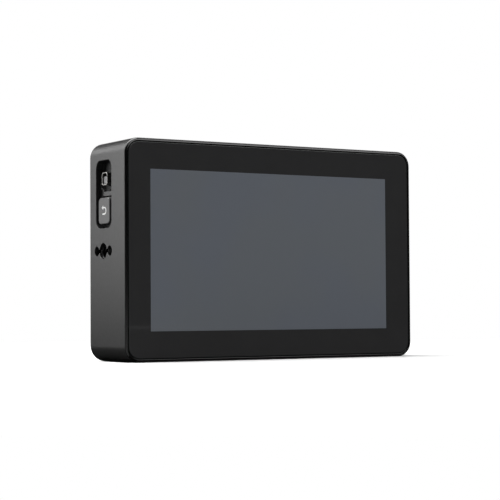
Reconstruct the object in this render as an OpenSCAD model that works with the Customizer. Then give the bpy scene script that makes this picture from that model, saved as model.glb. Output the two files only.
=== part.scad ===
// Five-inch on-camera field monitor: a milled aluminium body with a bonded cover glass,
// a sprung side key, a sprung power key and a rear battery bay with a sprung latch.
// X runs to the viewer's right, Y from the glass to the back and Z up. The origin lies
// under the middle of the body, on the surface that it stands on. Millimetres.

/* [Body] */
// Width of the body
body_w = 134.5; // [130:0.5:150]
// Height of the body
body_h = 86; // [85:0.5:96]
// Depth of the body from its front rim to its back
body_d = 31; // [30.5:0.5:36]
// Corner radius seen from the front
corner_r = 6; // [4.5:0.5:8]
// Thickness of the side walls
wall = 2.2; // [2:0.1:2.6]
// Rounding of the front rim
rim_round = 1; // [0.4:0.1:1.2]
// Rounding of the back edge
back_round = 0.7; // [0.3:0.1:1]

/* [Screen] */
// Width of the lit area
screen_w = 110.7; // [104:0.1:112]
// Height of the lit area
screen_h = 62.3; // [56:0.1:64]
// Sideways place of the lit area, off the middle of the body
screen_shift = -1; // [-2:0.1:2]
// Frame showing between the edge of the body and the cover glass
glass_border = 1.5; // [1.3:0.1:2]
// Corner radius of the cover glass
glass_r = 4.6; // [3:0.1:6]
// Thickness of the cover glass
glass_t = 1.1; // [0.7:0.1:1.6]
// Gap around the cover glass
glass_gap = 0.35; // [0.2:0.05:0.5]
// How far the cover glass lies below the rim
glass_sink = 0.1; // [0:0.05:0.3]
// Thickness of the adhesive frame under the glass
bond_t = 0.3; // [0.2:0.05:0.5]
// Width of the ledge that carries the glass
ledge_w = 1.9; // [1.6:0.1:2.4]
// Thickness of that ledge
ledge_t = 1.6; // [1.2:0.1:2]
// Thickness of the touch sensor
touch_t = 0.7; // [0.4:0.1:1]
// Thickness of the display panel
panel_t = 2; // [1.6:0.1:2.4]
// Dark margin of the display panel around the lit area
panel_margin = 0.7; // [0.5:0.1:2]
// Thickness of the backlight's light guide
guide_t = 1.5; // [1.2:0.1:2]
// Sheet thickness of the tray round the backlight
tray_t = 0.5; // [0.4:0.05:0.7]

/* [Inner frame and boards] */
// Thickness of the chassis plate
chassis_t = 1.4; // [1:0.1:2]
// Height of the standoffs under the main board
standoff_h = 3; // [2.5:0.1:3.4]
// Thickness of the main board
board_t = 1.6; // [1:0.1:2]
// Height of the processor
chip_t = 1.6; // [1.2:0.1:2]
// Thickness of the thermal pad
pad_t = 0.5; // [0.3:0.1:1]
// Height of the heat spreader
spreader_h = 6; // [5:0.5:7]
// Gap between the main board and the body's walls
board_gap = 1.2; // [0.8:0.1:1.6]

/* [Side recess] */
// Middle of the recess, back from the front rim
recess_y = 18.5; // [17.5:0.1:19.5]
// Middle of the recess, above the middle of the body
recess_z = 22.15; // [21.5:0.05:22.5]
// Width of the recess
recess_w = 13.4; // [13:0.1:14]
// Height of the recess
recess_h = 26.5; // [26:0.1:27]
// Corner radius of the recess
recess_r = 3.3; // [2.5:0.1:4]
// Depth of the socket's pocket and of the moat round the key
recess_depth = 3.3; // [3:0.1:3.6]
// Depth of the web between the socket and the key
web_depth = 1.9; // [1.2:0.1:2.4]
// Height of the web
web_h = 1.7; // [1.4:0.1:1.9]
// Rise of the slope from the web down into the socket's pocket
web_slope = 0.9; // [0.6:0.1:1.2]
// Metal left behind the recess
recess_floor = 2; // [1.5:0.1:2.5]
// Width of the socket's shell
socket_w = 4.7; // [4.5:0.1:6]
// Height of the socket's shell
socket_h = 5; // [4.8:0.1:6]
// Middle of the socket, above the middle of the body
socket_z = 28.2; // [28:0.1:28.6]
// How far the socket's rim lies below the side face
socket_sink = 0.4; // [0.1:0.1:1]

/* [Side key] */
// Width of the key
key_w = 9.6; // [9.4:0.1:10.4]
// Height of the key
key_h = 10.3; // [10:0.1:10.8]
// Corner radius of the key
key_r = 1.8; // [1:0.1:2.5]
// Gap over the key, up to the web
web_gap = 0.7; // [0.4:0.05:0.8]
// Gap under the key, down to the lower end of the recess
key_gap = 1.65; // [1.2:0.05:1.8]
// Thickness of the key
key_t = 2.3; // [2:0.1:2.4]
// Travel of the key
key_travel = 0.5; // [0.3:0.05:0.6]
// How far the key's face lies below the side face
key_sink = 0.15; // [0.1:0.05:0.3]
// Radius of the key's stem
key_stem_r = 1.5; // [1.2:0.1:1.7]

/* [Camera mounts] */
// Middle of the mounts, back from the front rim
mount_y = 19; // [18.5:0.1:19.5]
// Radius of the tapped hole in the insert, a quarter-inch thread
thread_r = 2.58; // [2.5:0.01:2.7]
// Radius of the hole that takes the insert
insert_r = 3.1; // [3:0.05:3.4]
// Length of the insert
insert_len = 6; // [5:0.1:7]
// How far the insert lies below the face
insert_sink = 0.8; // [0.4:0.1:1.2]
// Distance from the tapped hole to each locating hole
locator_pitch = 5.6; // [5.4:0.05:6]
// Radius of the locating holes
locator_r = 1.95; // [1.7:0.05:2]
// Depth of the locating holes
locator_depth = 4; // [3:0.1:5]
// Height of the slot that joins the three holes
slot_h = 1.4; // [1:0.1:2]
// Depth of that slot
slot_depth = 1.2; // [0.8:0.1:2]
// Metal around and behind the holes
mount_metal = 1.2; // [0.9:0.1:1.4]

/* [Right side sockets] */
// Width of a video socket's shell
video_w = 15.2; // [14.8:0.1:15.4]
// Thickness of a video socket's shell
video_t = 5.9; // [5.6:0.1:6.2]
// Depth of a video socket
video_len = 11.5; // [10:0.1:13]
// Height of the video sockets above and below the middle of the body
video_z = 17.4; // [17:0.1:17.8]
// Radius of the headphone jack's bore
phone_r = 1.8; // [1.75:0.01:1.9]
// Length of the headphone jack
phone_len = 13; // [12:0.1:15]
// Height of the headphone jack below the middle of the body
phone_z = 30; // [28.6:0.1:31]
// Radius of the power inlet's bore
inlet_r = 2.9; // [2.8:0.05:3.1]
// Radius of the power inlet's centre pin
inlet_pin_r = 1; // [0.8:0.05:1.25]
// Length of the power inlet
inlet_len = 13; // [12:0.1:15]
// Height of the power inlet above the middle of the body
inlet_z = 30.3; // [30.2:0.1:31]

/* [Top and bottom] */
// Place of the power key, right of the middle
power_x = 41; // [40:0.5:44]
// Length of the power key
power_w = 10; // [8:0.1:12]
// Width of the power key
power_d = 4.4; // [4:0.1:4.8]
// Travel of the power key
power_travel = 0.4; // [0.3:0.05:0.6]
// Place of the status light, right of the middle
light_x = 31; // [28:0.5:32]
// Radius of the status light
light_r = 0.9; // [0.6:0.05:1.2]
// Place of the card slot, left of the middle
card_x = 31; // [28:0.5:34]
// Width of the card slot
card_w = 24.6; // [24.2:0.1:25]
// Thickness of the card slot
card_t = 2.6; // [2.4:0.1:2.8]
// Depth of the card slot
card_len = 26; // [24:0.5:28]

/* [Back] */
// Thickness of the back cover
cover_t = 2.5; // [2:0.1:3]
// Width of the body's edge around the back cover
cover_rim = 1.4; // [1.2:0.1:1.6]
// Gap around the back cover and other fitted covers
cover_gap = 0.1; // [0.05:0.05:0.2]
// Length of the battery bay
bay_w = 84; // [82:0.5:86]
// Height of the battery bay
bay_h = 40.2; // [39.6:0.1:41]
// Depth of the battery bay
bay_depth = 4.6; // [4.5:0.1:5]
// Thickness of the battery plate's walls and floor
bay_wall = 1.6; // [1.2:0.1:2]
// Width of the battery plate's flange
flange_w = 5; // [4.6:0.1:5.4]
// Thickness of that flange
flange_t = 1.2; // [1:0.1:1.4]
// Length of a battery hook
hook_len = 9; // [6:0.5:12]
// Reach of a battery hook over the bay
hook_reach = 1.5; // [1:0.1:1.8]
// Number of cooling grooves on each side of the battery plate
groove_count = 4; // [2:1:5]
// Width of a cooling groove
groove_w = 1.4; // [1:0.1:1.8]
// Depth of a cooling groove
groove_depth = 1.2; // [0.8:0.1:1.4]

/* [Battery latch] */
// Length of the latch
latch_len = 7; // [6.8:0.1:8]
// Width of the latch
latch_w = 16; // [12:0.5:20]
// How far the latch's face lies below the back
latch_sink = 1; // [0.6:0.1:1.4]
// Mean radius of the latch spring
spring_r = 2.2; // [1.8:0.1:2.3]
// Wire thickness of the latch spring
spring_wire = 0.5; // [0.4:0.05:0.6]
// Turns of the latch spring
spring_turns = 5; // [4:0.5:6]

/* [Fasteners] */
// Shank radius of the cover screws
cover_screw_r = 1.25; // [1:0.05:1.5]
// Shank radius of the small screws
small_screw_r = 1; // [0.8:0.05:1.1]

/* [Hidden] */

// Facets that a full circle is drawn with, and steps in a rounded edge
$fn = 48;
corner_steps = 8;
edge_steps = 3;
// A cut runs this far past the face that it opens
over = 1;
// Gap between pieces that move past each other
slip = 0.3;
// Gap between pieces that only lie side by side
ease = 0.1;

front = -body_d / 2;
left = -body_w / 2;
right = body_w / 2;
mid_z = body_h / 2;
cavity_w = body_w - 2 * wall;
cavity_h = body_h - 2 * wall;

// Depths behind the front rim, in the order of the stack
glass_w = body_w - 2 * glass_border;
glass_h = body_h - 2 * glass_border;
glass_back = glass_sink + glass_t;
ledge_front = glass_back + bond_t;
ledge_back = ledge_front + ledge_t;
window_w = glass_w - 2 * ledge_w;
window_h = glass_h - 2 * ledge_w;
window_r = max(glass_r - ledge_w, 0.5);
bond_in = 0.5;
// The light guide reaches past the lit area, and the row of lamps is shorter than it
guide_out = 0.2;
led_h = 0.35;
led_in = 4;
// The tray grips the edge of the panel this far
tray_grip = 0.6;
panel_w = screen_w + 2 * panel_margin;
panel_h = screen_h + 2 * panel_margin;
panel_front = glass_back + touch_t;
panel_back = panel_front + panel_t;
guide_back = panel_back + ease + guide_t;
tray_back = guide_back + tray_t;
chassis_front = tray_back + ease;
chassis_back = chassis_front + chassis_t;
board_front = chassis_back + standoff_h;
board_back = board_front + board_t;
cover_front = body_d - cover_t;
bay_floor = body_d - bay_depth;
bay_back = bay_floor - bay_wall;

// Left side: the recess, its socket and its key
recess_low = recess_z - recess_h / 2;
recess_high = recess_z + recess_h / 2;
key_z = recess_low + key_gap + key_h / 2;
web_low = key_z + key_h / 2 + web_gap;
web_high = web_low + web_h;
slope_high = web_high + web_slope;
pad_inner = recess_depth + recess_floor;
side_post_h = 4;
socket_r = 1.2;
socket_wall = 0.35;
socket_room = 5;
tongue_w = 2.9;
tongue_sink = 0.5;
tongue_drop = 0.5;
side_board_x = pad_inner + side_post_h;
side_board_t = 1.2;
side_board_w = recess_w;
side_screw_len = 3.6;
side_switch_w = 6;
side_switch_t = 2.6;
switch_bite = 0.6;
side_post_r = 1.9;
side_post_y = recess_w / 2 - side_post_r - 0.2;
side_post_z = (web_low + web_high) / 2;

// Camera mounts
mount_depth = insert_sink + insert_len + mount_metal;
mount_half = locator_pitch + locator_r + mount_metal;
mount_half_z = 8;
side_board_low = mount_half_z + 1;

// Corner screws of the back cover and their bosses
boss_r = 3.1;
boss_in = wall + boss_r + 0.4;
boss_x = body_w / 2 - boss_in;
boss_z = body_h / 2 - boss_in;
boss_len = 3.6;
cover_head_r = 2.3;
cover_screw_len = 5;
// Empty end of a hole under the tip of its screw
tip_room = 0.6;

// Chassis posts on the ledge
post_r = 2;
post_in = 0.6;
post_x = cavity_w / 2 - post_r - post_in;
post_z = cavity_h / 2 - post_r - post_in;
chassis_screw_len = 3.6;
board_screw_len = 4.4;
small_head_r = 1.8;
small_head_t = 0.8;

// Main board and its standoffs
board_left = left + side_board_x + side_board_t + board_gap;
board_right = right - wall - board_gap;
board_h = cavity_h - 2 * board_gap;
standoff_r = 2.3;
standoff_x = 46;
standoff_z = 22;
chip_w = 15;
memory_w = 8;
memory_h = 11;
memory_t = 1;
memory_x = chip_w / 2 + memory_w / 2 + 1.6;
coil_w = 6;
coil_t = 2.4;
coil_pitch = 9;
coil_x = -40;
coil_z = 31;
regulator_w = 4;
regulator_t = 1;
regulator_pitch = 8;
regulator_z = 23;
plug_h = 1.6;
plug_w = 4;
plug_low = 30;
plug_high = 31;
lead_plug_h = 4;
lead_plug_w = 8;
key_flex_w = 8;
key_flex_turn = 3;
lead_plug_x = -28;
lead_plug_z = -9;
flex_t = 0.25;
display_flex_x = -20;
display_flex_w = 20;
touch_flex_x = 24;
touch_flex_w = 10;
cable_lift = 0.6;
cable_slot_h = 1.4;
tray_edge = panel_h / 2 + tray_t + ease;
cable_slot_z = tray_edge + ease + cable_slot_h / 2 + flex_t;
spreader_w = 44;
spreader_z = 22;
spreader_foot = 3.6;
fin_pitch = 4;
fin_t = 1.2;

// Right side sockets stand on the back of the main board
video_y = board_back + video_t / 2 + ease;
video_sink = 0.5;
video_wall = 0.4;
video_core = 2.5;
video_blade = 1.2;
blade_sink = 1.5;
jack_body = 6;
phone_y = board_back + jack_body / 2 + ease;
inlet_body = 9.4;
inlet_y = board_back + inlet_body / 2 + ease;
collar_t = wall + 0.3;
jack_sink = 0.2;
jack_end = 1;

// Keys and light on the top
power_y = board_back + 3.4;
power_flange = 0.9;
power_out = 0.8;
power_sink = 0.2;
power_stem = 2;
power_switch_h = 4.5;
power_switch_w = 6.5;
power_switch_top = wall + slip + power_flange + power_stem - switch_bite;
light_out = 0.7;
light_flange = 1;
light_foot = 1.4;
card_wall = 0.3;
card_sink = 0.4;
card_y = board_back + ease + card_wall + card_t / 2;

// Battery plate, latch and spring
plate_w = bay_w + 2 * bay_wall;
plate_h = bay_h + 2 * bay_wall;
plate_flange_w = plate_w + 2 * flange_w;
plate_flange_h = plate_h + 2 * flange_w;
plate_screw_x = plate_w / 2 + flange_w / 2;
plate_screw_z = plate_h / 2 + flange_w / 2 - 0.3;
plate_boss_len = 3;
plate_boss_r = 2.2;
plate_r = 1.8;
flange_r = 3;
hook_drop = 0.4;
plate_screw_len = 4.4;
latch_x = bay_w / 2 - slip - latch_len / 2 - 0.5;
latch_face = body_d - latch_sink;
latch_travel = latch_face - bay_floor;
latch_flange_t = 1.2;
latch_flange = 1.3;
latch_bottom = bay_back - slip - latch_flange_t;
latch_pocket = 2.6;
grip_w = 0.6;
grip_depth = 0.4;
well_wall = 1.2;
well_floor = latch_bottom - latch_travel - 1.4;
spring_top = latch_bottom + latch_pocket - ease;
spring_bottom = well_floor + ease;
well_w = latch_len + 2 * slip;
well_h = latch_w + 2 * latch_flange + 2 * slip;
contact_block = 3.5;
contact_block_h = 22;
block_drop = 0.6;
blade_len = 5;
blade_pitch = 6;
blade_h = 1.6;
blade_t = 0.8;
blade_tail = 1.5;
blade_y = bay_floor + slip + blade_h / 2;
lead_r = 0.6;
lead_gap = 1;
cover_head_t = 1.3;
screw_sink = 0.1;
groove_pitch = 2.6;
groove_gap = 0.6;

// ---- placing: each view draws in its own two axes and is pushed into the body ----

// Front view: x to the right, y up from the middle, pushed back from a depth
module from_front(depth, thick)
    translate([0, front + depth + thick, mid_z]) rotate([90, 0, 0]) linear_extrude(thick) children();

// Left view: x back from the front rim, y up from the middle, pushed in from the left face
module from_left(depth, thick)
    translate([left + depth, front, mid_z]) rotate([90, 0, 90]) linear_extrude(thick) children();

// Right view: the left view, mirrored
module from_right(depth, thick) mirror([1, 0, 0]) from_left(depth, thick) children();

// Bottom view: x to the right, y back from the front rim, pushed up from the bottom face
module from_bottom(depth, thick) translate([0, front, depth]) linear_extrude(thick) children();

// Top view: the same two axes, pushed down from the top face
module from_top(depth, thick)
    translate([0, front, body_h - depth - thick]) linear_extrude(thick) children();

// ---- shared shapes ----

// Rounded rectangle about the origin
module rounded(w, h, r) {
    x = w / 2 - r;
    y = h / 2 - r;
    polygon([
        for (quarter = [0:3], step = [0:corner_steps])
            let (a = 90 * quarter + 90 * step / corner_steps)
                [(quarter == 0 || quarter == 3 ? x : -x) + r * cos(a),
                 (quarter < 2 ? y : -y) + r * sin(a)]
    ]);
}

// Flat ring between two rounded rectangles
module rounded_ring(w, h, r, band) difference() {
    rounded(w, h, r);
    rounded(w - 2 * band, h - 2 * band, max(r - band, 0.3));
}

// The four corners of a rectangle of this half width and half height
module at_corners(x, z) for (sx = [-1, 1], sz = [-1, 1]) translate([sx * x, sz * z]) children();

// Four round bosses, each grown out to the walls of its corner
module corner_bosses(x, z, r) {
    at_corners(x, z) circle(r);
    for (sx = [-1, 1], sz = [-1, 1]) {
        translate([sx * (x + r), sz * z]) square([2 * r, 2 * r], center = true);
        translate([sx * x, sz * (z + r)]) square([2 * r, 2 * r], center = true);
        translate([sx * (x + r), sz * (z + r)]) square([2 * r, 2 * r], center = true);
    }
}

// Tapped camera mount and its locating holes, drawn in a side view
module insert_hole(centre) translate(centre) circle(insert_r);

module locator_holes(centre) for (s = [-1, 1]) translate([centre[0] + s * locator_pitch, centre[1]])
    circle(locator_r);

// Round screw with a flat head, head outwards, standing on its tip along +Y
module screw_back(r, len, head_r, head_t) rotate([-90, 0, 0]) {
    cylinder(r = r, h = len - head_t + 0.01);
    translate([0, 0, len - head_t]) cylinder(r = head_r, h = head_t);
}

// Screw with a cross recess in its head
module cross_screw(r, len, head_r, head_t) difference() {
    screw_back(r, len, head_r, head_t);
    for (turn = [0, 90]) rotate([0, turn, 0])
        translate([-head_r * 0.6, len - head_t * 0.6, -head_r * 0.12])
            cube([head_r * 1.2, head_t, head_r * 0.24]);
}

// ---- body ----

// Outer form with its rounded front rim and back edge
module body_form() hull() for (end = [0, 1], k = [0:edge_steps]) {
    r = end == 0 ? rim_round : back_round;
    inset = r * (1 - sin(90 * k / edge_steps));
    depth = r * (1 - cos(90 * k / edge_steps));
    from_front(end == 0 ? depth : body_d - depth - 0.01, 0.01)
        rounded(body_w - 2 * inset, body_h - 2 * inset, corner_r - inset);
}

// Metal behind the recess and behind each camera mount
module mount_pad(centre) translate(centre) square([2 * mount_half, 2 * mount_half_z], center = true);

module body_pads() {
    from_left(wall / 2, mount_depth - wall / 2) mount_pad([mount_y, 0]);
    from_right(wall / 2, mount_depth - wall / 2) mount_pad([mount_y, 0]);
    from_bottom(wall / 2, mount_depth - wall / 2) mount_pad([0, mount_y]);
    from_left(wall / 2, pad_inner - wall / 2)
        translate([recess_y, (recess_high + wall) / 2])
            square([recess_w + 2 * wall, recess_high + wall], center = true);
    for (s = [-1, 1]) from_left(pad_inner - 0.01, side_post_h + 0.01)
        translate([recess_y + s * side_post_y, side_post_z]) circle(side_post_r);
}

// Bosses for the cover screws, grown out of the four inner corners
module cover_bosses() from_front(cover_front - boss_len, boss_len) corner_bosses(boss_x, boss_z, boss_r);

// Posts behind the ledge that carry the chassis plate
module chassis_posts() from_front(ledge_back - 0.01, chassis_front - ledge_back + 0.01)
    corner_bosses(post_x, post_z, post_r);

module body_solid() {
    difference() {
        body_form();
        from_front(ledge_back, body_d) rounded(cavity_w, cavity_h, corner_r - wall);
    }
    intersection() {
        union() {
            body_pads();
            cover_bosses();
            chassis_posts();
        }
        from_front(ledge_back - 0.02, cover_front - ledge_back + 0.02)
            rounded(body_w - wall, body_h - wall, corner_r - wall / 2);
    }
}

// The recess: a pocket for the socket above the web, a well for the key below it
module recess_cut() {
    from_left(-over, web_depth + over) translate([recess_y, recess_z]) rounded(recess_w, recess_h, recess_r);
    from_left(web_depth - 0.01, recess_depth - web_depth + 0.01) {
        translate([recess_y, (slope_high + recess_high) / 2])
            rounded(recess_w, recess_high - slope_high, recess_r);
        translate([recess_y, (web_low + recess_low) / 2])
            rounded(recess_w, web_low - recess_low, recess_r);
    }
    // Slope from the web to the pocket's floor
    translate([left, front + recess_y + recess_w / 2 - recess_r, mid_z]) rotate([90, 0, 0])
        linear_extrude(recess_w - 2 * recess_r)
            polygon([[web_depth - 0.01, web_high], [recess_depth, slope_high],
                     [recess_depth, slope_high + recess_r], [web_depth - 0.01, slope_high + recess_r]]);
    from_left(recess_depth - over, recess_floor + 2 * over) translate([recess_y, socket_z])
        square([socket_w + 2 * ease, socket_h + 2 * ease], center = true);
    from_left(recess_depth - over, recess_floor + 2 * over) translate([recess_y, key_z])
        circle(key_stem_r + slip);
}

module side_mount_cut() {
    from_left(-over, insert_sink + insert_len + over) insert_hole([mount_y, 0]);
    from_left(-over, locator_depth + over) locator_holes([mount_y, 0]);
    from_left(-over, slot_depth + over) translate([mount_y, 0])
        square([2 * locator_pitch, slot_h], center = true);
}

module bottom_mount_cut() {
    from_bottom(-over, insert_sink + insert_len + over) insert_hole([0, mount_y]);
    from_bottom(-over, locator_depth + over) locator_holes([0, mount_y]);
    from_bottom(-over, slot_depth + over) translate([0, mount_y])
        square([2 * locator_pitch, slot_h], center = true);
}

module right_socket_cut() {
    for (s = [-1, 1]) from_right(-over, wall + 2 * over) translate([video_y, s * video_z])
        square([video_t + 2 * ease, video_w + 2 * ease], center = true);
    from_right(-over, wall + 2 * over) translate([phone_y, -phone_z]) circle(jack_body / 2 + ease);
    from_right(-over, wall + 2 * over) translate([inlet_y, inlet_z]) circle(inlet_body / 2 + ease);
}

module top_cut() {
    from_top(-over, wall + 2 * over) translate([power_x, power_y])
        rounded(power_w + 2 * slip, power_d + 2 * slip, power_d / 2 + slip - 0.01);
    from_top(-over, wall + 2 * over) translate([light_x, power_y]) circle(light_r + ease / 2);
}

module housing() color([0.13, 0.13, 0.14]) difference() {
    body_solid();
    from_front(-over, ledge_front + over)
        rounded(glass_w + 2 * glass_gap, glass_h + 2 * glass_gap, glass_r + glass_gap);
    from_front(ledge_front - over, ledge_t + 2 * over) rounded(window_w, window_h, window_r);
    from_front(cover_front, cover_t + over)
        rounded(body_w - 2 * cover_rim, body_h - 2 * cover_rim, corner_r - cover_rim);
    recess_cut();
    side_mount_cut();
    mirror([1, 0, 0]) side_mount_cut();
    bottom_mount_cut();
    right_socket_cut();
    top_cut();
    from_bottom(-over, wall + 2 * over) translate([-card_x, card_y])
        square([card_w + 2 * card_wall + 2 * ease, card_t + 2 * card_wall + 2 * ease], center = true);
    from_front(cover_front - boss_len + tip_room, boss_len + over) at_corners(boss_x, boss_z)
        circle(cover_screw_r);
    from_front(chassis_back - chassis_screw_len, chassis_screw_len + over)
        at_corners(post_x, post_z) circle(small_screw_r);
    for (s = [-1, 1]) from_left(pad_inner + tip_room, side_post_h)
        translate([recess_y + s * side_post_y, side_post_z]) circle(small_screw_r);
}

module thread_inserts() color([0.2, 0.2, 0.21]) {
    for (flip = [0, 1]) mirror([flip, 0, 0]) from_left(insert_sink, insert_len) translate([mount_y, 0])
        difference() {
            circle(insert_r - ease / 2);
            circle(thread_r);
        }
    from_bottom(insert_sink, insert_len) translate([0, mount_y]) difference() {
        circle(insert_r - ease / 2);
        circle(thread_r);
    }
}

// ---- screen stack ----

module cover_glass() color([0.06, 0.06, 0.07]) from_front(glass_sink, glass_t)
    rounded(glass_w, glass_h, glass_r);

module glass_bond() color([0.1, 0.1, 0.1]) from_front(glass_back, bond_t)
    rounded_ring(glass_w - 2 * bond_in, glass_h - 2 * bond_in, glass_r - bond_in, ledge_w - bond_in - ease);

module touch_sensor() color([0.5, 0.55, 0.6]) from_front(glass_back, touch_t)
    rounded(window_w - 2 * slip, window_h - 2 * slip, window_r);

module display_panel() color([0.33, 0.35, 0.37]) from_front(panel_front, panel_t)
    translate([screen_shift, 0]) square([panel_w, panel_h], center = true);

module light_guide() color([0.85, 0.9, 0.92]) from_front(panel_back + ease, guide_t)
    translate([screen_shift, 0]) square([screen_w + 2 * guide_out, screen_h + 2 * guide_out], center = true);

module led_strip() color([0.9, 0.85, 0.5])
    from_front(panel_back + ease, guide_t)
        translate([screen_shift, -screen_h / 2 - guide_out - ease - led_h / 2])
            square([screen_w - 2 * led_in, led_h], center = true);

module backlight_tray() color([0.75, 0.75, 0.77]) difference() {
    from_front(panel_back - tray_grip, tray_back - panel_back + tray_grip) translate([screen_shift, 0])
        rounded(panel_w + 2 * tray_t + 2 * ease, panel_h + 2 * tray_t + 2 * ease, 1);
    from_front(panel_back - over, guide_back - panel_back + over) translate([screen_shift, 0])
        square([panel_w + 2 * ease, panel_h + 2 * ease], center = true);
}

// ---- inner frame and main board ----

module chassis_plate() color([0.62, 0.64, 0.66]) difference() {
    union() {
        from_front(chassis_front, chassis_t)
            rounded(cavity_w - 2 * slip, cavity_h - 2 * slip, corner_r - wall - slip);
        from_front(chassis_back - 0.01, standoff_h + 0.01) at_corners(standoff_x, standoff_z)
            circle(standoff_r);
    }
    from_front(chassis_front - over, chassis_t + 2 * over) at_corners(post_x, post_z)
        circle(small_screw_r + ease);
    from_front(chassis_front - over, chassis_t + standoff_h + 2 * over)
        at_corners(standoff_x, standoff_z) circle(small_screw_r);
    // Slots that pass the flat cables
    from_front(chassis_front - over, chassis_t + 2 * over) {
        translate([display_flex_x, -cable_slot_z]) square([display_flex_w + 4, cable_slot_h], center = true);
        translate([touch_flex_x, cable_slot_z]) square([touch_flex_w + 4, cable_slot_h], center = true);
    }
}

module chassis_screws() color([0.6, 0.6, 0.62]) for (sx = [-1, 1], sz = [-1, 1])
    translate([sx * post_x, front + chassis_back + small_head_t - chassis_screw_len, mid_z + sz * post_z])
        cross_screw(small_screw_r - ease / 2, chassis_screw_len, small_head_r, small_head_t);

module board_outline() difference() {
    translate([board_left, -board_h / 2]) square([board_right - board_left, board_h]);
    // Room for the right and the bottom camera mounts
    translate([right - mount_depth - board_gap, -mount_half_z - board_gap])
        square([mount_depth + board_gap, 2 * (mount_half_z + board_gap)]);
    translate([-mount_half - board_gap, -body_h / 2])
        square([2 * (mount_half + board_gap), mount_depth + board_gap]);
    at_corners(post_x, post_z) circle(small_head_r + board_gap);
}

module main_board() color([0.05, 0.25, 0.12]) from_front(board_front, board_t) difference() {
    board_outline();
    at_corners(standoff_x, standoff_z) circle(small_screw_r + ease);
}

module board_screws() color([0.6, 0.6, 0.62]) for (sx = [-1, 1], sz = [-1, 1])
    translate([sx * standoff_x, front + board_back + small_head_t - board_screw_len, mid_z + sz * standoff_z])
        cross_screw(small_screw_r - ease / 2, board_screw_len, small_head_r, small_head_t);

module processor() color([0.12, 0.12, 0.13]) from_front(board_back, chip_t)
    square([chip_w, chip_w], center = true);

module memory_chips() color([0.12, 0.12, 0.13]) from_front(board_back, memory_t)
    for (s = [-1, 1]) translate([s * memory_x, 0]) square([memory_w, memory_h], center = true);

module power_chips() color([0.14, 0.14, 0.15]) {
    from_front(board_back, coil_t) for (k = [0:2])
        translate([coil_x + coil_pitch * k, coil_z]) square([coil_w, coil_w], center = true);
    from_front(board_back, regulator_t) for (k = [0:2])
        translate([coil_x + regulator_pitch * k, regulator_z])
            square([regulator_w, regulator_w], center = true);
}

module thermal_pad() color([0.55, 0.6, 0.68]) from_front(board_back + chip_t, pad_t)
    square([chip_w, chip_w], center = true);

// Finned plate on the thermal pad, on two feet that stand on the board
module heat_spreader() color([0.7, 0.71, 0.73]) {
    base = board_back + chip_t + pad_t;
    from_front(base, spreader_h * 0.35) square([spreader_w, spreader_z], center = true);
    for (k = [-5:5]) from_front(base + spreader_h * 0.35 - 0.01, spreader_h * 0.65 + 0.01)
        translate([k * fin_pitch, 0]) square([fin_t, spreader_z], center = true);
    for (s = [-1, 1]) from_front(board_back, chip_t + pad_t + 0.01)
        translate([s * (spreader_w - spreader_foot) / 2, 0])
            square([spreader_foot, spreader_z - 2 * spreader_foot], center = true);
}

// Plugs on the board for the flat cables and the battery lead
module board_sockets() color([0.85, 0.82, 0.72]) {
    from_front(board_front - plug_h, plug_h) translate([display_flex_x, -plug_low])
        square([display_flex_w + 2, plug_w], center = true);
    from_front(board_front - plug_h, plug_h) translate([touch_flex_x, plug_high])
        square([touch_flex_w + 2, plug_w], center = true);
    from_front(board_back, plug_h) translate([board_left + plug_w, 0])
        square([plug_w, key_flex_w + 2], center = true);
    from_front(board_back, lead_plug_h) translate([lead_plug_x, lead_plug_z])
        square([lead_plug_w, lead_plug_w - 3], center = true);
}

// Flat cable from the panel, round the chassis plate to the front of the board
module flat_cable(x, w, edge, plug_z) {
    near = tray_back - guide_t;
    far = chassis_back + cable_lift;
    run_z = cable_slot_z + flex_t / 2;
    module run(depth, thick, low, high) from_front(depth, thick)
        translate([x, edge * (low + high) / 2]) square([w, high - low], center = true);
    run(near, flex_t, tray_edge + ease, run_z);
    run(near, far - near, run_z - flex_t, run_z);
    run(far - flex_t, flex_t, plug_z, run_z);
    run(far - flex_t, board_front - plug_h - far + flex_t, plug_z, plug_z + flex_t);
}

module display_flex() color([0.75, 0.5, 0.15]) flat_cable(display_flex_x, display_flex_w, -1, plug_low);

module touch_flex() color([0.75, 0.5, 0.15]) flat_cable(touch_flex_x, touch_flex_w, 1, plug_high);

// ---- left side ----

module side_key_board() color([0.05, 0.25, 0.12]) difference() {
    from_left(side_board_x, side_board_t)
        translate([recess_y, (side_board_low + recess_high) / 2])
            square([side_board_w, recess_high - side_board_low], center = true);
    for (s = [-1, 1]) from_left(side_board_x - over, side_board_t + 2 * over)
        translate([recess_y + s * side_post_y, side_post_z]) circle(small_screw_r + ease);
}

module side_board_screws() color([0.6, 0.6, 0.62]) for (s = [-1, 1])
    translate([left + side_board_x + side_board_t + small_head_t, front + recess_y + s * side_post_y,
               mid_z + side_post_z])
        rotate([0, 0, -90]) translate([0, -side_screw_len, 0])
            cross_screw(small_screw_r - ease / 2, side_screw_len, small_head_r, small_head_t);

module side_switch() color([0.2, 0.2, 0.2]) difference() {
    from_left(side_board_x - side_switch_t, side_switch_t) translate([recess_y, key_z])
        square([side_switch_w, side_switch_w], center = true);
    from_left(side_board_x - side_switch_t - over, switch_bite + key_travel + slip + over)
        translate([recess_y, key_z]) circle(key_stem_r + slip);
}

module side_key() color([0.16, 0.16, 0.17]) {
    from_left(key_sink, key_t) translate([recess_y, key_z]) rounded(key_w, key_h, key_r);
    from_left(key_sink + key_t - 0.01, side_board_x - side_switch_t + switch_bite - key_sink - key_t + 0.01)
        translate([recess_y, key_z]) circle(key_stem_r);
}

module side_key_pad() color([0.3, 0.3, 0.3]) {
    top = key_sink + key_t + 0.02;
    from_left(top, recess_depth - top) translate([recess_y, key_z]) difference() {
        circle(key_w / 2 - 1);
        circle(key_stem_r + slip);
    }
}

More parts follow.
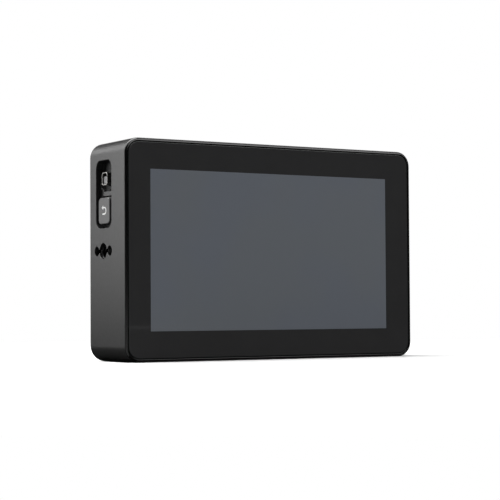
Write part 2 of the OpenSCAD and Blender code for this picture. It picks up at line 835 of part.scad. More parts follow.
module side_socket_shell() color([0.7, 0.7, 0.72])
    from_left(socket_sink, side_board_x - socket_sink) translate([recess_y, socket_z])
        rounded_ring(socket_w, socket_h, socket_r, socket_wall);

module side_socket_core() color([0.25, 0.25, 0.26]) {
    from_left(socket_sink + socket_room, side_board_x - socket_sink - socket_room)
        translate([recess_y, socket_z])
            rounded(socket_w - 2 * socket_wall - ease, socket_h - 2 * socket_wall - ease,
                    socket_r - socket_wall);
    from_left(socket_sink + tongue_sink, socket_room) translate([recess_y, socket_z - tongue_drop])
        square([tongue_w, tongue_w], center = true);
}

// Flat cable down from the key board and across to its plug on the main board
module key_flex() color([0.75, 0.5, 0.15]) {
    x0 = left + side_board_x + side_board_t;
    y0 = front + board_back + plug_h;
    z0 = mid_z - key_flex_w / 2;
    translate([x0, y0, z0]) cube([board_left + 1.5 * plug_w - x0, flex_t, key_flex_w]);
    translate([x0, y0, z0]) cube([flex_t, key_flex_turn, side_board_low + key_flex_w / 2 + key_flex_turn]);
}

// ---- right side sockets ----

module video_socket_shells() color([0.72, 0.72, 0.74]) for (s = [-1, 1])
    from_right(video_sink, video_len) translate([video_y, s * video_z])
        rounded_ring(video_t, video_w, 1, video_wall);

module video_socket_cores() color([0.12, 0.12, 0.12]) for (s = [-1, 1]) {
    from_right(video_sink + video_len - video_core, video_core) translate([video_y, s * video_z])
        square([video_t - 2 * video_wall - ease, video_w - 2 * video_wall - 1 - ease], center = true);
    from_right(video_sink + blade_sink, video_len - video_core - blade_sink + 0.1)
        translate([video_y - video_wall, s * video_z])
            square([video_blade, video_w - 2 * video_wall - 2 * video_t / 3], center = true);
}

// Round collar in the wall, square body behind it, one blind bore into both
module jack(y, z, outer, bore, len) difference() {
    union() {
        from_right(jack_sink, collar_t + over) translate([y, z]) circle(outer / 2);
        from_right(jack_sink + collar_t, len - collar_t + jack_end) translate([y, z])
            square([outer, outer], center = true);
    }
    from_right(-over, jack_sink + len + over) translate([y, z]) circle(bore);
}

module headphone_jack() color([0.1, 0.1, 0.1]) jack(phone_y, -phone_z, jack_body, phone_r, phone_len);

module power_inlet() color([0.12, 0.12, 0.12]) jack(inlet_y, inlet_z, inlet_body, inlet_r, inlet_len);

module power_inlet_pin() color([0.75, 0.75, 0.72])
    from_right(jack_sink + 2, inlet_len - 2) translate([inlet_y, inlet_z]) circle(inlet_pin_r);

// ---- bottom and top ----

module card_slot() color([0.72, 0.72, 0.74]) difference() {
    from_bottom(card_sink, card_len) translate([-card_x, card_y])
        square([card_w + 2 * card_wall, card_t + 2 * card_wall], center = true);
    from_bottom(-over, card_sink + card_len - 2 + over) translate([-card_x, card_y])
        square([card_w, card_t], center = true);
}

module power_key() color([0.16, 0.16, 0.17]) {
    from_top(power_sink, wall - power_sink + slip) translate([power_x, power_y])
        rounded(power_w, power_d, power_d / 2 - 0.01);
    from_top(wall + slip - 0.01, power_flange + 0.01) translate([power_x, power_y])
        rounded(power_w + 2 * power_out, power_d + 2 * power_out, power_out);
    from_top(wall + slip + power_flange - 0.01, power_stem + 0.01) translate([power_x, power_y])
        circle(key_stem_r);
}

module power_switch() color([0.2, 0.2, 0.2]) difference() {
    from_top(power_switch_top, power_switch_h) translate([power_x, power_y])
        square([power_switch_w, 2 * (power_y - board_back)], center = true);
    from_top(power_switch_top - over, switch_bite + power_travel + slip + over)
        translate([power_x, power_y]) circle(key_stem_r + slip);
}

// Light pipe: a lens in the top wall over a foot on the board
module status_light() color([0.8, 0.9, 0.8]) {
    from_top(ease, wall + slip) translate([light_x, power_y]) circle(light_r);
    from_top(wall + slip, light_flange) translate([light_x, power_y]) circle(light_r + light_out);
    from_top(wall + slip + light_flange - 0.01, light_foot)
        translate([light_x, (board_back + power_y + light_r) / 2])
        square([2 * light_r, power_y + light_r - board_back], center = true);
}

// ---- back ----

module cover_outline() rounded(body_w - 2 * cover_rim - 2 * cover_gap, body_h - 2 * cover_rim - 2 * cover_gap,
                               corner_r - cover_rim - cover_gap);

module back_cover() color([0.13, 0.13, 0.14]) difference() {
    union() {
        from_front(cover_front, cover_t) cover_outline();
        from_front(cover_front - plate_boss_len, plate_boss_len + 0.01)
            at_corners(plate_screw_x, plate_screw_z) circle(plate_boss_r);
    }
    from_front(cover_front - over, cover_t + 2 * over)
        rounded(plate_w + 2 * cover_gap, plate_h + 2 * cover_gap, plate_r + cover_gap);
    from_front(body_d - flange_t, flange_t + over)
        rounded(plate_flange_w + 2 * cover_gap, plate_flange_h + 2 * cover_gap, flange_r + cover_gap);
    from_front(cover_front - over, cover_t + 2 * over) at_corners(boss_x, boss_z)
        circle(cover_screw_r + ease);
    from_front(body_d - cover_head_t - screw_sink, cover_head_t + over) at_corners(boss_x, boss_z)
        circle(cover_head_r + ease);
    from_front(cover_front - plate_boss_len + tip_room, cover_t + plate_boss_len)
        at_corners(plate_screw_x, plate_screw_z) circle(small_screw_r);
    for (s = [-1, 1], k = [0:groove_count - 1])
        from_front(body_d - groove_depth, groove_depth + over)
            translate([s * (plate_flange_w / 2 + groove_w + groove_gap + k * groove_pitch), 0])
                square([groove_w, plate_flange_h], center = true);
}

module cover_screws() color([0.3, 0.3, 0.31]) for (sx = [-1, 1], sz = [-1, 1])
    translate([sx * boss_x, front + body_d - cover_screw_len - screw_sink, mid_z + sz * boss_z])
        cross_screw(cover_screw_r - ease / 2, cover_screw_len, cover_head_r, cover_head_t);

module battery_plate() color([0.1, 0.1, 0.1]) difference() {
    union() {
        from_front(body_d - flange_t, flange_t) rounded(plate_flange_w, plate_flange_h, flange_r);
        from_front(bay_back, bay_depth + bay_wall - flange_t + 0.01)
            rounded(plate_w, plate_h, plate_r);
        // Guide well of the latch, with the spring's seat at its bottom
        from_front(well_floor - well_wall, bay_back - well_floor + well_wall + 0.01)
            translate([latch_x, 0]) square([well_w + 2 * well_wall, well_h + 2 * well_wall], center = true);
    }
    difference() {
        from_front(bay_floor, bay_depth + over) square([bay_w, bay_h], center = true);
        // Hooks that reach over the battery's grooves
        for (sx = [-1, 1], sz = [-1, 1])
            from_front(body_d - flange_t - hook_drop, flange_t) translate([sx * bay_w / 4, sz * bay_h / 2])
                square([hook_len, 2 * hook_reach], center = true);
        // Block that holds the contact blades
        from_front(bay_floor - over, bay_depth - block_drop + over)
            translate([-bay_w / 2 + contact_block / 2, 0])
                square([contact_block + 0.02, contact_block_h], center = true);
    }
    from_front(bay_back - over, bay_wall + 2 * over) translate([latch_x, 0])
        square([latch_len + 2 * slip, latch_w + 2 * slip], center = true);
    from_front(well_floor, bay_back - well_floor) translate([latch_x, 0])
        square([well_w, well_h], center = true);
    from_front(body_d - flange_t - over, flange_t + 2 * over) at_corners(plate_screw_x, plate_screw_z)
        circle(small_screw_r + ease);
    from_front(body_d - small_head_t - screw_sink, small_head_t + over)
        at_corners(plate_screw_x, plate_screw_z)
        circle(small_head_r + ease);
    // Slots that hold the contact blades
    for (k = [-1:1]) translate([-bay_w / 2 - bay_wall - over, front + blade_y - blade_h / 2,
                                mid_z + k * blade_pitch - blade_t / 2])
        cube([contact_block + bay_wall + 2 * over, blade_h, blade_t]);
}

module plate_screws() color([0.3, 0.3, 0.31]) for (sx = [-1, 1], sz = [-1, 1])
    translate([sx * plate_screw_x, front + body_d - plate_screw_len - screw_sink, mid_z + sz * plate_screw_z])
        cross_screw(small_screw_r - ease / 2, plate_screw_len, small_head_r, small_head_t);

module battery_contacts() color([0.85, 0.7, 0.35]) for (k = [-1:1])
    translate([-bay_w / 2 - bay_wall - blade_tail, front + blade_y - blade_h / 2,
               mid_z + k * blade_pitch - blade_t / 2])
        cube([blade_tail + bay_wall + contact_block + blade_len, blade_h, blade_t]);

// Pair of leads from the contact blades to their plug on the main board
module battery_lead() color([0.6, 0.1, 0.1]) for (k = [0, 1]) {
    x0 = -bay_w / 2 - bay_wall - blade_tail - lead_r;
    z0 = mid_z + (k == 0 ? -1 : 1) * blade_pitch;
    y0 = front + blade_y;
    y1 = front + board_back + lead_plug_h + lead_r + ease;
    z1 = mid_z + lead_plug_z + (2 * k - 1) * lead_gap;
    for (p = [[y0, z0], [y1, z0], [y1, z1]]) translate([x0, p[0], p[1]]) sphere(r = lead_r);
    translate([x0, y1, z0]) rotate([-90, 0, 0]) cylinder(r = lead_r, h = y0 - y1);
    translate([x0, y0, z0]) rotate([0, 90, 0]) cylinder(r = lead_r, h = lead_r);
    translate([x0, y1, min(z0, z1)]) cylinder(r = lead_r, h = abs(z0 - z1));
    translate([x0, y1, z1]) rotate([0, 90, 0]) cylinder(r = lead_r, h = lead_plug_x - x0);
}

module battery_latch() color([0.16, 0.16, 0.17]) difference() {
    union() {
        from_front(latch_bottom, latch_face - latch_bottom) translate([latch_x, 0])
            square([latch_len, latch_w], center = true);
        from_front(latch_bottom, latch_flange_t) translate([latch_x, 0])
            square([latch_len, latch_w + 2 * latch_flange], center = true);
    }
    // Pocket that the spring stands in
    translate([latch_x, front + latch_bottom - over, mid_z]) rotate([-90, 0, 0])
        cylinder(r = spring_r + spring_wire / 2 + slip, h = latch_pocket + over);
    // Grip lines
    for (k = [-2:2]) from_front(latch_face - grip_depth, grip_depth + over)
        translate([latch_x, k * latch_w / 6]) square([latch_len + over, grip_w], center = true);
}

// One unbroken wire wound at a steady pitch between the well's floor and the latch
module latch_spring() {
    sides = 6;
    per_turn = 12;
    rings = spring_turns * per_turn;
    free = spring_top - spring_bottom - spring_wire;
    function ring_point(i, j) =
        let (turn = 360 * i / per_turn, a = 360 * j / sides,
             r = spring_r + spring_wire / 2 * cos(a),
             h = spring_wire / 2 + free * i / rings + spring_wire / 2 * sin(a))
            [latch_x + r * cos(turn), front + spring_bottom + h, mid_z + r * sin(turn)];
    points = [for (i = [0:rings], j = [0:sides - 1]) ring_point(i, j)];
    skin = [for (i = [0:rings - 1], j = [0:sides - 1])
        let (n = (j + 1) % sides, a = i * sides)
            each [[a + j, a + n, a + sides + n], [a + j, a + sides + n, a + sides + j]]];
    ends = [for (j = [1:sides - 2])
        each [[0, j + 1, j], [rings * sides, rings * sides + j, rings * sides + j + 1]]];
    color([0.7, 0.7, 0.72]) polyhedron(points, concat(skin, ends));
}

housing();
cover_glass();
glass_bond();
touch_sensor();
display_panel();
light_guide();
led_strip();
backlight_tray();
chassis_plate();
chassis_screws();
main_board();
board_screws();
processor();
memory_chips();
power_chips();
thermal_pad();
heat_spreader();
board_sockets();
display_flex();
touch_flex();
key_flex();
side_key_board();
side_board_screws();
side_switch();
side_key();
side_key_pad();
side_socket_shell();
side_socket_core();
thread_inserts();
video_socket_shells();
video_socket_cores();
headphone_jack();
power_inlet();
power_inlet_pin();
card_slot();
power_key();
power_switch();
status_light();
back_cover();
cover_screws();
battery_plate();
plate_screws();
battery_contacts();
battery_lead();
battery_latch();
latch_spring();
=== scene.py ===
"""Five-inch camera field monitor: the finish of every piece, the pieces made here, the studio and the camera."""

import math

import bmesh
import bpy
from bpy.props import FloatProperty, FloatVectorProperty, IntProperty, PointerProperty
from bpy.types import Operator, Panel, PropertyGroup
from mathutils import Matrix, Vector


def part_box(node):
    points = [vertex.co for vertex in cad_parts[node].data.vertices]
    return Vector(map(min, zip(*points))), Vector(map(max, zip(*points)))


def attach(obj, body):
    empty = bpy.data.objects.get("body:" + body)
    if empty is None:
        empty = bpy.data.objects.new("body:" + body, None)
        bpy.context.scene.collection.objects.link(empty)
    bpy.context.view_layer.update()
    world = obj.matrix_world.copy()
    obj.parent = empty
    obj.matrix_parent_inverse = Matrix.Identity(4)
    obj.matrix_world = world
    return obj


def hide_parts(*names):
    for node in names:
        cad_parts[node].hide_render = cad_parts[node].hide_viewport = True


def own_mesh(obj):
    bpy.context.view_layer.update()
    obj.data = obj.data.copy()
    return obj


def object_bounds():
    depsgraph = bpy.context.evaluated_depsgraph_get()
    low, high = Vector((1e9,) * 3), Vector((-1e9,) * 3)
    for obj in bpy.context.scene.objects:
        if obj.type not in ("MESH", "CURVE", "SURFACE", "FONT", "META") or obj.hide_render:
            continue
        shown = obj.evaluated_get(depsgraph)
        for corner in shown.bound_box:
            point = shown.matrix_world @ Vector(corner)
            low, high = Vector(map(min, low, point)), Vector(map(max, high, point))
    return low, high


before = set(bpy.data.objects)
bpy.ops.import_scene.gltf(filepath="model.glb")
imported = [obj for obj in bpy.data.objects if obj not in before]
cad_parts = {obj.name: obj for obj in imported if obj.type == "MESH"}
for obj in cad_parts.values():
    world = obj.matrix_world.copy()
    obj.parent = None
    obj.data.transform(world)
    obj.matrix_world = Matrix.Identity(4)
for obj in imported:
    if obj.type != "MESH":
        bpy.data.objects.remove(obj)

bl_info = {
    "name": "Camera Field Monitor",
    "version": (1, 0, 0),
    "blender": (4, 5, 0),
    "location": "View3D > Sidebar > Monitor",
    "description": "Builds a five-inch camera field monitor and its studio",
    "category": "Object",
}

MM = 0.001
CAD_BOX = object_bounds()
LOWEST, HIGHEST = CAD_BOX
FULL_TURN = 2 * math.pi
PRINT_HEIGHT = 0.02 * MM


def low(node):
    """Lowest corner of a CAD node."""
    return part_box(node)[0]


def high(node):
    """Highest corner of a CAD node."""
    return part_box(node)[1]


def middle(node):
    """Middle of a CAD node's box."""
    return (low(node) + high(node)) / 2


# ---- sizes and colours that a user would change ----


def size_property(name, description, default, low_limit=0.0, high_limit=1.0):
    """A length in metres."""
    return FloatProperty(name=name, description=description, default=default, min=low_limit, max=high_limit,
                         precision=5, subtype="DISTANCE", unit="LENGTH")


def share_property(name, description, default):
    """A share from 0 to 1."""
    return FloatProperty(name=name, description=description, default=default, min=0.0, max=1.0, subtype="FACTOR")


def colour_property(name, description, default):
    """A linear colour."""
    return FloatVectorProperty(name=name, description=description, default=default, size=3, min=0.0, max=1.0,
                               subtype="COLOR")


def turn_property(name, description, degrees):
    """An angle, given in degrees."""
    return FloatProperty(name=name, description=description, default=math.radians(degrees), subtype="ANGLE",
                         unit="ROTATION")


def power_property(name, description, default):
    """A lamp's power in watts."""
    return FloatProperty(name=name, description=description, default=default, min=0.0, max=50.0,
                         subtype="POWER", unit="POWER")


class BodyLook(PropertyGroup):
    """Finish of the milled body, its cover and its keys."""

    colour: colour_property("Anodising", "Colour of the black anodised metal", (0.008, 0.008, 0.008))
    roughness: share_property("Roughness", "Roughness of the bead-blasted metal", 0.36)
    # Painted light: the key caps take a lighter copy of the body's anodising colour that stands in for the light
    # they catch.
    key_colour: colour_property("Key Lacquer", "Colour of the key caps", (0.045, 0.045, 0.045))
    blast_grain: size_property("Blast Grain", "Size of the marks that bead blasting leaves", 0.00016,
                               0.00002, 0.002)
    # Painted shade: the front lip round the glass takes a near-black colour that stands in for the shade there;
    # the same colour paints the deep side recess.
    lip: size_property("Lip", "Depth of the gloss black lip round the glass", 0.00040, 0.0, 0.001)
    lip_colour: colour_property("Lip Colour", "Colour of the gloss black lip", (0.0008, 0.0008, 0.0008))
    lip_roughness: share_property("Lip Roughness", "Roughness of the gloss black lip", 0.16)
    # Painted shade: from this depth the side recess is near black, standing in for its shade.
    recess_paint: size_property("Recess Paint", "Depth in the side recess from which it is matt black", 0.0023,
                                0.0, 0.006)
    recess_roughness: share_property("Recess Roughness", "Roughness of the matt black in the side recess", 0.6)
    edge: size_property("Edge Break", "Width of the break on the body's edges", 0.00014, 0.0, 0.0005)
    key_edge: size_property("Key Edge", "Width of the rounding on the edges of the keys", 0.00032, 0.0, 0.0008)


class GlassLook(PropertyGroup):
    """Front glass and what shows through it."""

    pencil_edge: size_property("Ground Edge", "Radius of the glass's ground edge", 0.00015, 0.0, 0.0005)
    lit_margin: size_property("Panel Margin", "Dark margin of the panel round the lit area", 0.0007, 0.0, 0.003)
    lit_corner: size_property("Lit Corner", "Corner radius of the lit area", 0.00015, 0.00005, 0.004)
    border: colour_property("Border", "Ink of the printed border under the glass", (0.0245, 0.0245, 0.0250))
    screen: colour_property("Screen", "Switched-off screen under the glass", (0.118, 0.128, 0.142))


class SignLook(PropertyGroup):
    """Signs printed on the keys."""

    ink: colour_property("Ink", "Ink of the signs", (0.86, 0.86, 0.85))
    stroke: size_property("Stroke", "Width of a sign's line", 0.00052, 0.0001, 0.002)
    arrow_width: size_property("Arrow Width", "Width of the return arrow", 0.0040, 0.001, 0.008)
    arrow_height: size_property("Arrow Height", "Height of the return arrow", 0.0030, 0.001, 0.008)


class MountLook(PropertyGroup):
    """Threads of the camera mounts."""

    pitch: size_property("Thread Pitch", "Pitch of the quarter-inch camera thread", 0.00127, 0.0005, 0.002)
    crest: size_property("Crest Radius", "Radius at the crest of the thread", 0.00258, 0.001, 0.004)
    root: size_property("Root Radius", "Radius at the root of the thread", 0.00288, 0.001, 0.004)
    steps: IntProperty(name="Steps", description="Steps in a turn of the thread", default=40, min=12, max=96)


class StageLook(PropertyGroup):
    """Camera, floor, dark flags and mats, and lamps."""

    lens: FloatProperty(name="Lens", description="Focal length of the camera", default=115.98, min=20, max=300,
                        subtype="DISTANCE_CAMERA")
    camera_place: FloatVectorProperty(name="Camera", description="Place of the camera", size=3,
                                      default=(-0.34316, -0.56145, 0.02019), subtype="TRANSLATION", unit="LENGTH")
    camera_turn: turn_property("Turn", "Turn of the view to the right of straight ahead", 31.242)
    camera_rise: turn_property("Rise", "Rise of the view above level", 2.097)
    camera_roll: turn_property("Roll", "Roll of the camera", -0.334)
    floor: colour_property("Floor", "Colour of the floor", (0.90, 0.90, 0.90))
    floor_bounce: colour_property("Floor Bounce", "Colour that the floor throws up", (0.32, 0.32, 0.32))
    floor_near: size_property("Floor Near", "Distance up to which the floor keeps its shadows", 0.12, 0.05, 2.0)
    floor_far: size_property("Floor Far", "Distance from which the floor is plain white", 0.40, 0.1, 3.0)
    back_flag: size_property("Back Flag", "Height of the dark flag behind", 1.50, 0.05, 2.0)
    left_flag: size_property("Left Flag", "Height of the dark flag at the left", 1.20, 0.05, 2.0)
    front_flag: size_property("Front Flag", "Height of the dark flag in front", 0.45, 0.05, 2.0)
    mat_reach: size_property("Left Mat", "Reach of the dark mat at the left", 0.40, 0.05, 2.0)
    mat_under: size_property("Mat Under", "Reach of the left mat under the round corner", 0.0048, 0.0, 0.005)
    front_mat_reach: size_property("Front Mat", "Reach of the dark mat in front", 1.0, 0.05, 2.0)
    surround: FloatProperty(name="Surround", description="Strength of the even light from all round", default=0.30,
                            min=0.0, max=2.0)
    side_lamp: power_property("Side Lamp", "Power of the low lamp behind the left side", 1.42)
    shoulder_lamp: power_property("Shoulder Lamp", "Power of the lamp above the left side", 0.6)
    top_lamp: power_property("Top Lamp", "Power of the overhead lamp", 7.0)
    front_lamp: power_property("Front Lamp", "Power of the lamp in front", 5.5)
    back_lamp: power_property("Back Lamp", "Power of the lamp behind", 7.0)


# ---- finishes ----


def feed(tree, socket, value):
    """Link a socket to another one, or set it to a constant."""
    if isinstance(value, bpy.types.NodeSocket):
        tree.links.new(value, socket)
    else:
        socket.default_value = value


def calculate(tree, operation, *values):
    """Result of a Math node on these sockets and numbers."""
    made = tree.nodes.new("ShaderNodeMath")
    made.operation = operation
    for socket, value in zip(made.inputs, values):
        feed(tree, socket, value)
    return made.outputs[0]


class Finish:
    """A node material in the making. Its patterns lie in the piece's own coordinates, sized in millimetres."""

    def __init__(self, colour, roughness, metallic=0.0, specular=0.5):
        self.material = bpy.data.materials.new("finish")
        self.material.use_nodes = True
        self.tree = self.material.node_tree
        self.surface = self.tree.nodes["Principled BSDF"]
        self.colour = (*colour, 1.0)
        self.set("Base Color", self.colour)
        self.set("Roughness", roughness)
        self.set("Metallic", metallic)
        self.set("Specular IOR Level", specular)
        self.place = self.node("ShaderNodeTexCoord").outputs["Object"]

    def set(self, socket, value):
        """Write a constant on the shader's own socket."""
        self.surface.inputs[socket].default_value = value
        return self

    def node(self, kind, **inputs):
        """A node with its inputs linked or set."""
        made = self.tree.nodes.new(kind)
        for name, value in inputs.items():
            feed(self.tree, made.inputs[name.replace("_", " ")], value)
        return made

    def stretched(self, stretch):
        """Coordinates drawn out along the axes with a stretch above 1."""
        made = self.node("ShaderNodeMapping", Vector=self.place)
        made.inputs["Scale"].default_value = [1 / s for s in stretch]
        return made.outputs["Vector"]

    def noise(self, size_mm, detail=2.0, stretch=(1, 1, 1)):
        """Soft random pattern with features of this size."""
        return self.node("ShaderNodeTexNoise", Vector=self.stretched(stretch), Scale=1000 / size_mm,
                         Detail=detail).outputs["Fac"]

    def cells(self, size_mm):
        """Pattern of cells of this size."""
        return self.node("ShaderNodeTexVoronoi", Vector=self.place, Scale=1000 / size_mm).outputs["Distance"]

    def lines(self, pitch_mm, axis="Z", wobble=0.0):
        """Parallel lines this far apart, counted along an axis."""
        made = self.node("ShaderNodeTexWave", Vector=self.place, Scale=1000 * math.pi / (10 * pitch_mm),
                         Distortion=wobble)
        made.bands_direction = axis
        return made.outputs["Fac"]

    def step(self, pattern, start, end, first=0.0, last=1.0):
        """The pattern's stretch from start to end, spread over first to last."""
        made = self.node("ShaderNodeMapRange", Value=pattern)
        for socket, value in zip(("From Min", "From Max", "To Min", "To Max"), (start, end, first, last)):
            made.inputs[socket].default_value = value
        return made.outputs["Result"]

    def inside(self, lowest, highest):
        """1 inside a box of the piece's own coordinates and 0 outside."""
        place = self.node("ShaderNodeSeparateXYZ", Vector=self.place).outputs
        whole = 1.0
        for axis, first, last in zip("XYZ", lowest, highest):
            between = calculate(self.tree, "COMPARE", place[axis], (first + last) / 2, (last - first) / 2)
            whole = calculate(self.tree, "MULTIPLY", whole, between)
        return whole

    def tint(self, pattern, colour, start=0.35, end=0.65):
        """Mix another colour in by a pattern."""
        made = self.node("ShaderNodeMix")
        made.data_type = "RGBA"
        self.tree.links.new(self.step(pattern, start, end), made.inputs["Factor"])
        under = self.surface.inputs["Base Color"]
        if under.is_linked:
            self.tree.links.new(under.links[0].from_socket, made.inputs["A"])
        else:
            made.inputs["A"].default_value = self.colour
        made.inputs["B"].default_value = (*colour, 1.0)
        self.tree.links.new(made.outputs["Result"], under)
        return self

    def rough(self, pattern, first, last):
        """Let the roughness follow a pattern."""
        self.tree.links.new(self.step(pattern, 0.3, 0.7, first, last), self.surface.inputs["Roughness"])
        return self

    def relief(self, pattern, depth_mm, strength=1.0):
        """Raise the surface by a pattern, over any relief that it has."""
        made = self.node("ShaderNodeBump", Height=pattern, Strength=strength, Distance=depth_mm * MM)
        normal = self.surface.inputs["Normal"]
        if normal.is_linked:
            self.tree.links.new(normal.links[0].from_socket, made.inputs["Normal"])
        self.tree.links.new(made.outputs["Normal"], normal)
        return self

    def mixed(self, share, first, second):
        """Two shaders mixed, with this share of the second."""
        made = self.node("ShaderNodeMixShader", Fac=share)
        self.tree.links.new(first, made.inputs[1])
        self.tree.links.new(second, made.inputs[2])
        return made.outputs[0]


def lighter(colour, factor):
    """The colour times a factor."""
    return tuple(min(c * factor, 1.0) for c in colour)


def cover_anodising(look):
    """Bead-blasted aluminium, anodised black."""
    grain_mm = look.blast_grain / MM
    made = Finish(look.colour, look.roughness, specular=0.45)
    made.tint(made.noise(7, 3), lighter(look.colour, 1.12))
    made.tint(made.noise(grain_mm * 2, 1), lighter(look.colour, 1.30), 0.5, 0.8)
    made.rough(made.noise(1.4, 4), look.roughness - 0.03, look.roughness + 0.03)
    return made.relief(made.noise(grain_mm, 2), 0.004, 0.35)


def body_anodising(look):
    """The cover's anodising, with painted shade: a gloss near-black front lip round the glass and matt near-black
    deep in the side recess.
    """
    made = cover_anodising(look)
    # Painted shade: the front lip, within the lip's depth behind the front, is near black.
    lip = made.inside((LOWEST.x - MM, LOWEST.y - MM, LOWEST.z - MM),
                      (HIGHEST.x + MM, LOWEST.y + look.lip, HIGHEST.z + MM))
    key_low, key_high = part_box("side_key")
    # Painted shade: the side recess, deeper than its given depth round the key and the socket, is near black.
    deep, beside_key, over_socket = 6 * MM, 4 * MM, 8 * MM
    recess = made.inside((LOWEST.x + look.recess_paint, key_low.y - beside_key, key_low.z - beside_key),
                         (LOWEST.x + deep, key_high.y + beside_key, high("side_socket_shell").z + over_socket))
    roughness = made.surface.inputs["Roughness"]
    # Both masks mix in the near-black painted shade, each with its own roughness.
    for part, value in ((lip, look.lip_roughness), (recess, look.recess_roughness)):
        made.tint(part, look.lip_colour, 0.0, 1.0)
        mixed = made.node("ShaderNodeMix", Factor=part, A=roughness.links[0].from_socket, B=value)
        made.tree.links.new(mixed.outputs["Result"], roughness)
    return made


def key_lacquer(look):
    """Key caps: the body's anodising painted lighter, as painted light for the light that they catch."""
    made = Finish(look.key_colour, look.roughness - 0.02, specular=0.45)
    made.tint(made.noise(0.5, 3), lighter(look.key_colour, 1.25))
    made.rough(made.noise(1.1, 3), look.roughness - 0.05, look.roughness + 0.01)
    return made.relief(made.noise(look.blast_grain / MM, 2), 0.003, 0.35)


def printed_glass(look):
    """Black ink behind coated glass."""
    made = Finish(look.border, 0.03, specular=0.22)
    made.tint(made.noise(9, 2), lighter(look.border, 1.04))
    return made.relief(made.noise(22, 1), 0.0006, 0.3)


def screen_glass(look):
    """Switched-off screen behind coated glass: a faint lattice of dots under an even grey-blue."""
    made = Finish(look.screen, 0.05, specular=0.22)
    cool = (look.screen[0] * 0.96, look.screen[1] * 0.98, look.screen[2] * 1.06)
    made.tint(made.noise(34, 1), cool, 0.4, 0.6)
    made.tint(made.lines(0.173, "X"), lighter(look.screen, 0.97), 0.7, 0.9)
    made.tint(made.lines(0.173, "Z"), lighter(look.screen, 0.98), 0.7, 0.9)
    return made.relief(made.noise(22, 1), 0.0006, 0.3)


def glass_edge():
    """Ground and polished edge of the glass."""
    made = Finish((0.012, 0.016, 0.015), 0.16)
    made.rough(made.noise(0.3, 2), 0.12, 0.24)
    return made.relief(made.noise(0.1, 1), 0.002, 0.3)


def sign_ink(look):
    """Printed ink with a fine tooth."""
    made = Finish(look.ink, 0.55)
    made.tint(made.noise(0.12, 2), lighter(look.ink, 0.9))
    return made.relief(made.noise(0.08, 1), 0.003, 0.3)


def textured_plastic():
    """Moulded plastic with a fine spark texture."""
    made = Finish((0.022, 0.022, 0.024), 0.5, specular=0.4)
    made.tint(made.noise(0.5, 3), (0.034, 0.034, 0.036))
    made.rough(made.noise(0.8, 2), 0.44, 0.58)
    return made.relief(made.cells(0.16), 0.012, 0.5)


def silicone():
    """Silicone rubber."""
    made = Finish((0.020, 0.020, 0.020), 0.72, specular=0.35)
    made.tint(made.noise(1.5, 2), (0.030, 0.030, 0.029))
    return made.relief(made.noise(0.25, 3), 0.01, 0.5)


def nickel_plate():
    """Nickel-plated stamped shell."""
    made = Finish((0.60, 0.585, 0.55), 0.22, metallic=1.0)
    made.rough(made.noise(0.6, 3, (1, 1, 6)), 0.14, 0.28)
    return made.relief(made.noise(0.2, 2, (1, 1, 8)), 0.002, 0.4)


def dull_nickel():
    """Nickel plating that has gone dull."""
    made = Finish((0.26, 0.255, 0.245), 0.28, metallic=1.0)
    made.rough(made.noise(0.6, 3, (6, 1, 1)), 0.22, 0.36)
    return made.relief(made.noise(0.2, 2, (8, 1, 1)), 0.002, 0.4)


def tongue_grey():
    """Glass-filled tongue of a socket, moulded in grey."""
    made = Finish((0.19, 0.19, 0.193), 0.45, specular=0.3)
    made.tint(made.noise(0.35, 3), (0.24, 0.24, 0.243))
    return made.relief(made.noise(0.1, 2), 0.004, 0.4)


def blackened_steel():
    """Blackened stainless steel, turned."""
    made = Finish((0.008, 0.008, 0.009), 0.5, metallic=0.5, specular=0.15)
    made.rough(made.noise(0.5, 3), 0.3, 0.46)
    return made.relief(made.noise(0.09, 2), 0.003, 0.4)


def turned_steel(colour, roughness):
    """Machined screw steel with fine turning lines."""
    made = Finish(colour, roughness, metallic=0.9)
    made.tint(made.noise(0.7, 3), lighter(colour, 0.72))
    made.rough(made.noise(0.3, 2), roughness - 0.06, roughness + 0.08)
    return made.relief(made.cells(0.12), 0.003, 0.4)


def black_screws():
    """Blackened screws that show outside."""
    return turned_steel((0.055, 0.055, 0.058), 0.38)


def zinc_screws():
    """Zinc-plated screws inside."""
    return turned_steel((0.52, 0.52, 0.53), 0.34)


def zinc_sheet():
    """Zinc-plated sheet with its spangle."""
    made = Finish((0.56, 0.57, 0.58), 0.34, metallic=1.0)
    made.tint(made.cells(2.4), (0.48, 0.49, 0.51), 0.2, 0.6)
    made.rough(made.cells(1.7), 0.28, 0.44)
    return made.relief(made.noise(0.4, 3, (6, 1, 1)), 0.003, 0.4)


def milled_aluminium():
    """Bare milled aluminium with cutter lines."""
    made = Finish((0.58, 0.59, 0.61), 0.36, metallic=1.0)
    made.tint(made.noise(3, 3, (1, 1, 5)), (0.50, 0.51, 0.53))
    made.rough(made.noise(0.9, 2, (8, 1, 1)), 0.3, 0.44)
    return made.relief(made.lines(0.35, "Z", 0.4), 0.003, 0.35)


def solder_mask():
    """Green solder mask over copper tracks and pads."""
    mask = (0.012, 0.105, 0.043)
    made = Finish(mask, 0.38)
    tracks = made.lines(1.2, "Z", 3.0)
    made.tint(tracks, lighter(mask, 1.7), 0.6, 0.75)
    made.tint(made.lines(2.1, "X", 2.4), lighter(mask, 1.5), 0.7, 0.82)
    made.tint(made.cells(3.1), (0.62, 0.55, 0.38), 0.09, 0.05)
    return made.relief(tracks, 0.02, 0.4)


def chip_epoxy():
    """Moulded epoxy package."""
    made = Finish((0.021, 0.021, 0.023), 0.55, specular=0.4)
    made.tint(made.noise(0.3, 3), (0.036, 0.036, 0.038))
    return made.relief(made.cells(0.14), 0.008, 0.5)


